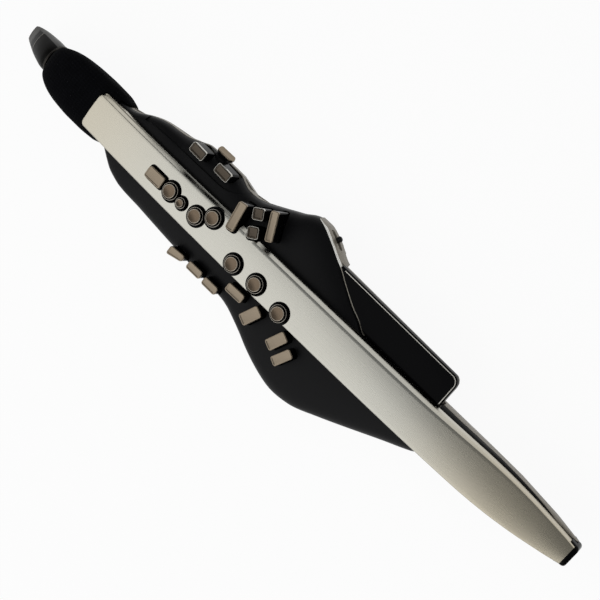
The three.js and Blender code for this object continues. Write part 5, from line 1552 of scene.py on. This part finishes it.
@dataclass
class HeadCover:
    """The soft sleeve around the neck, with the pocket that the panel's head slips into."""

    foot: float = 455.0
    length: float = 80.0
    half_width: float = 22.6
    front_depth: float = 10.5
    widest_depth: float = 22.0
    rear_depth: float = 46.0
    root_depth: float = 33.0
    power: float = 2.4
    play: float = 0.35
    overlap: float = 1.0
    least_wall: float = 1.2
    sides: int = 120
    ripple: float = 0.16
    ripple_scale: float = 0.09
    places: tuple[float, ...] = (0.0, 0.004, 0.01, 0.02, 0.035)
    room_rows: Triple = (452.0, 462.0, 470.0)
    tenon_room: Pair = (8.7, 511.0)
    airway: Triple = (2.9, 476.0, 33.5)
    shares: tuple[Triple, ...] = (
        (0.0, 0.78, 0.76), (0.008, 0.835, 0.81), (0.03, 0.875, 0.85), (0.06, 0.91, 0.89), (0.12, 0.965, 0.95),
        (0.3, 1, 1), (0.5, 0.99, 1), (0.68, 0.94, 0.96), (0.8, 0.86, 0.9), (0.9, 0.74, 0.8), (0.96, 0.63, 0.69),
        (0.985, 0.55, 0.6), (1, 0.48, 0.5),
    )

    def __post_init__(self) -> None:
        """Makes the smooth tables."""
        self.widths, self.depths = (smooth_table([(row[0], row[i]) for row in self.shares]) for i in (1, 2))

    def ring(self, y: float, share: float, inset: float = 0.0) -> list[Vector]:
        """Section of the sleeve, with slight waves as soft foam has, or drawn in evenly.

        Args:
            y: The place along the body.
            share: The share of the sleeve's length whose width and depth it has.
            inset: How far it is drawn in.

        Returns:
            The ring.
        """
        width, depth = self.widths(share), self.depths(share)
        front, back = self.widest_depth - self.front_depth, self.rear_depth - self.widest_depth
        lean = (1 - depth) * (self.root_depth - self.widest_depth)
        width, depth = width - inset / self.half_width, depth - inset / back
        points = []
        for i in range(self.sides):
            across, up = squared(FULL_TURN * i / self.sides, self.power)
            x, z = across * self.half_width * width, up * depth * (front if up > 0 else back)
            wave = noise.noise(Vector((x, y, z)) * self.ripple_scale) * self.ripple
            grow = 1 + (wave - self.ripple) / self.half_width
            points.append((x * grow, z * grow - self.widest_depth - lean))
        return upright(y, points)

    def loft(self, shift: float = 0.0, inset: float = 0.0) -> Solid:
        """The sleeve's outer form, moved along the body and drawn in."""
        shares = [*self.places, *spread(0.05, 0.95, 60), *(1 - place for place in reversed(self.places))]
        return Solid(loft([self.ring(self.foot - shift + share * self.length, share, inset) for share in shares]))

    def build(self) -> None:
        """Makes the sleeve with its pockets."""
        neck = box_run([
            (y, LINES.neck_half_width + self.play, LINES.rear(y) - self.play, LINES.crest(y) + self.overlap)
            for y in (*self.room_rows, LINES.neck_top + self.play)
        ]) & self.loft(4.0, self.least_wall)
        pocket = box_run([
            (y, LINES.panel_half(y) + self.play, LINES.crest(y) - self.overlap, 3.0)
            for y in (*self.room_rows, LINES.panel_top + self.play)
        ])
        radius, foot = self.tenon_room
        bore = placed(disc(radius, 0, 28.0, 48), lengthwise(foot, self.root_depth))
        radius, foot, depth = self.airway
        airway = placed(disc(radius, 0, 40.0, 24), lengthwise(foot, depth))
        sleeve = self.loft() - neck - pocket - Solid(bore) - Solid(airway)
        piece = make_piece("head_sleeve", sleeve.form(), Dress(
            "body", Slot.SOFT, ("head_cover",), edge=0.7, edge_steps=3, crease=50.0,
        ))


@dataclass
class Mouthpiece:
    """The beak: a smoky shell, a black plate on top, the tip, the ring and the tenon."""

    foot: float = 537.1
    length: float = 36.9
    root: float = 12.6
    root_depth: float = 33.0
    tip_depth: float = 44.0
    tip_share: float = 0.8
    tenon: float = 8.4
    tenon_foot: float = 511.3
    bore: float = 4.0
    sides: int = 96
    plate_inset: float = 2.1
    ring_foot: float = 535.15
    ring_width: float = 1.7
    reed_half: float = 6.8
    reed_top: float = -43.9
    shares: tuple[tuple[float, float, float, float], ...] = (
        (0, 1, 1, 0), (0.12, 1, 0.99, 0.06), (0.35, 0.94, 0.84, 0.3), (0.58, 0.85, 0.6, 0.55),
        (0.78, 0.72, 0.36, 0.78), (0.92, 0.6, 0.2, 0.93), (1, 0.51, 0.13, 1),
    )

    def __post_init__(self) -> None:
        """Makes the smooth tables."""
        self.widths, self.depths, self.drops = (
            smooth_table([(row[0], row[i]) for row in self.shares]) for i in (1, 2, 3)
        )

    def point(self, share: float, angle: float, lift: float = 0.0, shrink: float = 1.0) -> Vector:
        """A place on the beak, or above it by the lift."""
        wide = self.root * self.widths(share) * shrink + lift
        deep = self.root * self.depths(share) * shrink + lift
        centre = -self.root_depth - self.drops(share) * (self.tip_depth - self.root_depth)
        return Vector((wide * math.cos(angle), self.foot + share * self.length, centre + deep * math.sin(angle)))

    def ring(self, share: float, shrink: float = 1.0) -> list[Vector]:
        """Section across the beak."""
        return [self.point(share, FULL_TURN * i / self.sides, 0.0, shrink) for i in range(self.sides)]

    def reed_room(self) -> Solid:
        """Room of the reed under the beak."""
        ends = (self.foot + 2.7, self.foot + self.length + 1.0)
        return box_run([(y, self.reed_half, -50.0, self.reed_top) for y in ends])

    def plate(self, name: str, low: float, high: float, lift: float, finish: Finish) -> None:
        """A shaped plate on the beak's upper side."""
        rows = []
        for share in spread(low, high, 24):
            near = math.acos(1 - self.plate_inset / (self.root * self.widths(share)))
            far = math.pi - near
            rise = lift * min(1.0, 0.2 + min(share - low, high - share) / (high - low) * 16)
            rows.append([self.point(share, angle, rise) for angle in spread(near, far, 40)]
                        + [self.point(share, angle, -0.4) for angle in spread(far, near, 40)])
        make_piece(name, loft(rows), Dress("mouthpiece", Slot.BEAK, finish=finish, crease=60.0))

    def part(self, name: str, rows: list[list[Vector]], node: str, *steps: tuple[str, Form]) -> None:
        """Makes one part of the beak, without the reed's room, after joining or cutting other forms."""
        solid = Solid(loft(rows))
        for step, form in steps:
            solid = solid + Solid(form) if step == "join" else solid - Solid(form)
        solid = solid - self.reed_room()
        make_piece(name, solid.form(), Dress("mouthpiece", Slot.TIP, (node,), edge=0.12, crease=40.0))

    def build(self) -> None:
        """Makes every piece of the mouthpiece."""
        tenon = placed(disc(self.tenon, 0, 27.0, 56), lengthwise(self.tenon_foot, self.root_depth))
        bore = placed(disc(self.bore, 0, 30.0, 32), lengthwise(self.tenon_foot - 3.0, self.root_depth))
        shell = [self.ring(share) for share in spread(0.0, self.tip_share, 56)]
        self.part("beak_shell", shell, "mouthpiece", ("join", tenon), ("cut", bore))
        tip = [self.ring(share) for share in spread(self.tip_share + 0.3 / self.length, 0.975, 18)]
        tip += [self.ring(share, shrink) for share, shrink in ((0.988, 0.985), (0.996, 0.94), (1.0, 0.85))]
        self.part("beak_tip", tip, "mouthpiece_tip")
        self.plate("beak_plate", 0.005, 0.6, 0.12, FINISHES[Slot.BEAK])
        # A thin paler grey band where the plate ends.
        self.plate("beak_plate_edge", 0.603, 0.622, 0.2, ARC_RESIN)
        self.plate("beak_band", 0.625, 0.785, 0.08, DEEP_RESIN)
        self.ring_piece()

    def ring_piece(self) -> None:
        """The ring between the beak and the sleeve, rolled on its outer side."""
        inner, outer, half = self.tenon + 0.3, self.root + 0.1, self.ring_width / 2
        roll = arc((outer - 0.3, half), (0.5, half), -QUARTER, QUARTER, 10)
        form = turned([(inner, 0.0), *roll, (inner, self.ring_width)], 72)
        form = placed(form, lengthwise(self.ring_foot, self.root_depth))
        make_piece("beak_ring", form, Dress("body", Slot.CHROME, ("mouthpiece_ring",), DARK_PLATING, crease=50.0))


@dataclass
class FootCap:
    """The black cap that closes the lower end and wraps around the panel's foot."""

    length: float = 8.0
    rim: float = 0.95
    drop: float = 0.5
    corner: float = 4.2
    roll: float = 3.0
    play: float = 0.12

    def ring(self, y: float, inset: float) -> list[Vector]:
        """Section of the cap."""
        at = max(y, LINES.panel_foot)
        half = LINES.panel_half(at) + self.rim - inset
        top, bottom = LINES.bow(at) - self.drop - inset * 0.5, LINES.rear(at) + inset - LINES.gap
        outline = rounded_outline(2 * half, top - bottom, max(self.corner - inset, 0.8), 10)
        return [Vector((x, y, z + (top + bottom) / 2)) for x, z in outline]

    def build(self) -> None:
        """Lofts the cap with its rolled end, and takes the panel's room out."""
        rows = [self.ring(y, inset) for inset, y in arc((self.roll, self.roll), -self.roll, QUARTER, 0.0, 10)]
        rows += [self.ring(y, 0.0) for y in spread(self.roll + 0.8, self.length, 5)]
        room = []
        for y in spread(LINES.panel_foot - self.play, self.length + 2.0, 6):
            at = max(y, LINES.panel_foot)
            room.append((y, LINES.panel_half(at) + self.play, LINES.bow(at) - LINES.panel_height, 5.0))
        cap = Solid(loft(rows)) - box_run(room)
        make_piece("end_cap", cap.form(), Dress("body", Slot.GLOSS, ("foot_cap",), edge=0.2, crease=45.0))


@dataclass
class OuterPalmTouch:
    """The key that leans out towards the palm: a metal cap on a black body and stem."""

    x: float = 44.1
    along: float = 0.7379
    z: float = -14.0
    tilt: float = 52.0
    width: float = 5.4
    length: float = 15.0
    depth: float = 3.0
    stem_shift: float = 2.6
    stem_width: float = 3.4
    stem_length: float = 7.0
    stem_depth: float = 12.0
    pod_width: float = 7.0
    pod_length: float = 10.4
    pod_top: float = 5.4
    pod_depth: float = 14.0
    clearance: float = 0.5

    def place(self) -> Matrix:
        """The key's place and lean."""
        return Matrix.Translation((self.x, LINES.wing_y(self.along), self.z)) \
            @ Matrix.Rotation(math.radians(self.tilt), 4, "Y")

    def bar(self, width: float, length: float, radius: float, low: float, high: float) -> Form:
        """A rounded bar in the key's own direction, around its stem."""
        form = prism(rounded_outline(width, length, radius), low, high)
        return placed(form, self.place() @ Matrix.Translation((0, self.stem_shift, 0)))

    def pod(self) -> Solid:
        """The small boss on the wing that carries the stem."""
        return Solid(self.bar(self.pod_width, self.pod_length, 1.8, -self.pod_depth, -self.pod_top))

    def stem_room(self) -> Solid:
        """The hole in the boss."""
        growth = 2 * self.clearance
        return Solid(self.bar(self.stem_width + growth, self.stem_length + growth, 0.4, -26.0, 4.0))

    def build(self) -> None:
        """Makes the cap, the body and the stem."""
        node = "key_palm_outer"
        touch = BarTouch(node, self.width, self.length)
        cap = touch.rows((
            (0.9, -1.7), (0.0, -1.6), (0.0, -0.6), (0.05, -0.35), (0.18, -0.15), (0.35, -0.04), (0.6, 0.0),
            (0.9, -0.06), (1.3, -0.12),
        ))
        core = touch.rows(((0.5, -self.depth), (0.15, -self.depth + 0.3), (0.15, -1.66), (0.6, -1.5)))
        stem = self.bar(self.stem_width, self.stem_length, 0.5, -self.stem_depth, -self.depth + 0.2)
        make_piece(f"{node}_cap", placed(cap, self.place()), Dress(node, Slot.NICKEL, crease=28.0))
        make_piece(f"{node}_core", placed(core, self.place()), Dress(node, Slot.GLOSS, (node,), edge=0.12))
        make_piece(f"{node}_stem", stem, Dress(node, Slot.GLOSS, edge=0.12))


@dataclass(frozen=True)
class Refined:
    """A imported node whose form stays, with soft edges and smooth flanks."""

    node: str
    slot: Slot
    body: str = "body"
    edge: float = 0.3
    steps: int = 2
    crease: float = 32.0
    flush: float = 0.0
    lean: float = 0.31

    def build(self) -> None:
        """Copies the node's form, and draws it back to the bay's wall where it has to lie flush."""
        form = node_form(self.node)
        bay = SideBay()
        for vert in form.verts:
            if self.flush and bay.foot_y < vert.co.y < bay.lid_end:
                lower = max(bay.bottom - vert.co.z, 0.0)
                vert.co.x = min(vert.co.x, bay.wall_x(vert.co.y) + self.flush - lower * self.lean)
            crown = LINES.bow(vert.co.y)
            vert.co.z = crown + (vert.co.z - crown) * LINES.foot_share(vert.co.y)
        bmesh.ops.remove_doubles(form, verts=form.verts, dist=0.01)
        make_piece(f"{self.node}_skin", form, Dress(
            self.body, self.slot, (self.node,), edge=self.edge, edge_steps=self.steps, crease=self.crease,
        ))


@dataclass
class CaseScrews:
    """The sunk screws that hold the back on."""

    head: float = 2.4
    stand: float = 0.1
    power: float = 2.4
    cross_bar: Triple = (0.55, 2.6, 0.2)
    cross_turns: Pair = (20.0, 110.0)
    places: tuple[Pair, ...] = (
        (0.0, 40.0), (0.0, 100.0), (-30.0, 225.0), (-46.0, 250.0), (-22.0, 300.0), (22.0, 320.0), (-12.0, 430.0),
        (12.0, 430.0),
    )

    def surface(self, x: float, y: float) -> float:
        """Height of the back at a place."""
        reach = LINES.left(y) if x < 0 else LINES.right(y)
        across = min(abs(x) / reach, 0.99)
        edge = LINES.parting(y) - LINES.gap
        return edge + (LINES.rear(y) - edge) * (1 - across ** self.power) ** (1 / self.power)

    def build(self) -> None:
        """Makes every screw as a dished head with a cross in it."""
        profile = (
            (0.0, 0.9), (self.head, 0.9), (self.head, 0.15), (self.head - 0.3, -0.12), (1.2, -0.3), (0.0, -0.34),
        )
        for number, (x, y) in enumerate(self.places, 1):
            head = Solid(turned(profile, 40))
            for turn in self.cross_turns:
                bar = prism(rounded_outline(*self.cross_bar, 3), -1.0, -0.02)
                head = head - Solid(placed(bar, moved(0, 0, 0, turn)))
            form = placed(head.form(), Matrix.Translation((x, y, self.surface(x, y) + self.stand)))
            make_piece(f"case_screw_{number}", form, Dress("body", Slot.STEEL, edge=0.06, crease=40.0))


# Studio

@dataclass
class Studio:
    """Camera, floor, backdrop and soft light."""

    target: Triple = (6.75, 251.49, 0.0)
    distance: float = 900.0
    right_angle: float = 17.0
    foot_angle: float = 15.0
    roll: float = 46.15
    lens: float = 77.54
    sensor: float = 36.0
    floor_reach: float = 6.0
    box_place: Triple = (-1.48, 0.51, 1.6)
    box_size: Pair = (2.4, 3.8)
    box_turn: float = -20.0
    box_glow: float = 1.08
    fill_place: Triple = (0.4, -0.3, 1.9)
    fill_size: Pair = (2.2, 2.2)
    fill_glow: float = 1.0
    room_glow: float = 0.22

    def toward_camera(self) -> Vector:
        """Direction from the target to the camera."""
        t, p = math.radians(self.right_angle), math.radians(self.foot_angle)
        return Vector((math.sin(t) * math.cos(p), -math.sin(p), math.cos(t) * math.cos(p)))

    def camera(self) -> None:
        """Sets the camera at the photograph's angle."""
        back = self.toward_camera()
        up0 = (Vector((0, 1, 0)) - back * back.y).normalized()
        right0 = up0.cross(back)
        roll = math.radians(self.roll)
        up = up0 * math.cos(roll) + right0 * math.sin(roll)
        right = right0 * math.cos(roll) - up0 * math.sin(roll)
        data = bpy.data.cameras.new("camera")
        data.lens, data.sensor_width = self.lens, self.sensor
        data.clip_start, data.clip_end = 0.01, 60.0
        camera = linked("camera", data)
        where = LAYOUT.spot(*self.target) + back * self.distance * MILLIMETRE
        turn = Matrix((right, up, back)).transposed().to_4x4()
        camera.matrix_world = Matrix.Translation(where) @ turn
        bpy.context.scene.camera = camera

    def backdrop_material(self) -> bpy.types.Material:
        """White to the eye and to mirrors, plain pale paper to everything else, with the object's shadow kept."""
        board = Board("paper")
        camera, glossy, through = (
            board.add("ShaderNodeLightPath", output=f"Is {kind} Ray") for kind in ("Camera", "Glossy", "Transmission")
        )
        seen = camera + glossy + through
        fibre = board.grain(board.place(), 40.0, 3.0)
        paper = board.add("ShaderNodeBsdfDiffuse", {}, {
            "Color": board.mixed(fibre, (0.78, 0.78, 0.78), (0.82, 0.82, 0.82)),
        })
        white = board.add("ShaderNodeEmission", {}, {"Color": (1.0, 1.0, 1.0, 1.0), "Strength": 1.0})
        both = board.add("ShaderNodeMixShader", {}, {0: seen * 0.93, 1: paper, 2: white})
        board.add("ShaderNodeOutputMaterial", {}, {"Surface": both})
        return board.material

    def floor(self) -> None:
        """A pale floor that sweeps up into a backdrop all round."""
        reach = self.floor_reach
        flat, sweep = reach * 0.8, reach * 0.2
        profile = [(0.0, 0.0), (flat, 0.0), *arc((flat, sweep), sweep, -QUARTER, 0.0, 8)[1:], (reach, reach * 0.45)]
        mesh = meshed("floor", turned(profile, 64))
        mesh.shade_smooth()
        mesh.materials.append(self.backdrop_material())
        linked("floor", mesh)

    def lamp(self, name: str, where: Triple, size: Pair, turn: float, glow: float) -> bpy.types.Object:
        """Hangs one soft lamp that faces straight down.

        Args:
            name: The lamp's name.
            where: Its place in the frame, in metres.
            size: Its width and length, in metres.
            turn: Its turn about the upright, in degrees.
            glow: The radiance of its face, where 1 is as bright as white paper.

        Returns:
            The lamp.
        """
        data = bpy.data.lights.new(name, "AREA")
        data.shape = "RECTANGLE"
        data.size, data.size_y = size
        data.energy = glow * math.pi * size[0] * size[1]
        lamp = linked(name, data)
        lamp.location = where
        lamp.rotation_euler = (0.0, 0.0, math.radians(turn))
        return lamp

    def light(self) -> None:
        """A large soft box over the head and left, a fill that mirrors don't show, and a dim room."""
        box = self.lamp("soft_box", self.box_place, self.box_size, self.box_turn, self.box_glow)
        fill = self.lamp("fill", self.fill_place, self.fill_size, 0.0, self.fill_glow)
        fill.visible_glossy = False
        LOG.info("soft box %s and fill %s hang over the object", box.name, fill.name)
        world = bpy.data.worlds.new("room")
        world.use_nodes = True
        shade = world.node_tree.nodes["Background"]
        shade.inputs[0].default_value = (0.95, 0.98, 1.0, 1.0)
        shade.inputs[1].default_value = self.room_glow
        bpy.context.scene.world = world

    def build(self) -> None:
        """Sets everything around the object."""
        self.camera()
        self.floor()
        self.light()
        bpy.context.scene.view_settings.view_transform = "Standard"


OCTAVES = ("octave_up_far", "octave_up_near", "octave_down_near", "octave_down_far")
REFINED_NODES = (
    Refined("rear_case", Slot.GREY, edge=0.2, crease=30.0, flush=0.4),
    Refined("slide_switch", Slot.SATIN, "slide_switch"),
    Refined("phones_socket", Slot.SATIN, edge=0.2, flush=1.0),
    Refined("power_inlet", Slot.SATIN, edge=0.15, flush=0.25),
    Refined("usb_socket", Slot.STEEL, edge=0.12, flush=0.25), Refined("reed", Slot.TIP, "mouthpiece", 0.25, 3),
    *(Refined(node, Slot.SATIN, node, 0.5, 3) for node in OCTAVES),
    Refined("thumb_rest", Slot.RUBBER, edge=0.4, steps=3), Refined("thumb_lever", Slot.RUBBER, "thumb_lever", 0.5, 3),
    Refined("thumb_hook", Slot.SATIN, edge=0.6, steps=3), Refined("strap_ring", Slot.STEEL),
    Refined("display_window", Slot.GLASS, edge=0.2), Refined("button_menu", Slot.SATIN, "button_menu"),
    Refined("button_enter", Slot.SATIN, "button_enter"), Refined("battery_cover", Slot.GREY, "battery_cover"),
    *(Refined(f"battery_cell_{number}", Slot.CELL) for number in range(1, 5)),
    Refined("key_mat", Slot.RUBBER, edge=0.2), Refined("key_board", Slot.BOARD, edge=0.08),
    Refined("main_board", Slot.BOARD, edge=0.08), Refined("speaker", Slot.SATIN, edge=0.2),
    Refined("breath_tube", Slot.TUBE, edge=0.1), Refined("breath_sensor", Slot.SATIN),
)
SUB_ASSEMBLIES = (
    FrontPanel(), FrontCasing(), SideBay(), ShoulderWall(),
    SideBand("flank_neck", 318.0, 454.0, 5.5, thin_share=0.06), SideBand("flank_foot", 5.0, 131.0, 6.0),
    HeadCover(), Mouthpiece(), FootCap(), OuterPalmTouch(), CaseScrews(),
)


def main() -> None:
    """Builds the studio and every sub-assembly."""
    logging.basicConfig(level=logging.INFO, format="%(name)s: %(message)s")
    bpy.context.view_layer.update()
    Studio().build()
    for assembly in (*SUB_ASSEMBLIES, *TOUCHES, *REFINED_NODES):
        assembly.build()


if __name__ == "__main__":
    main()
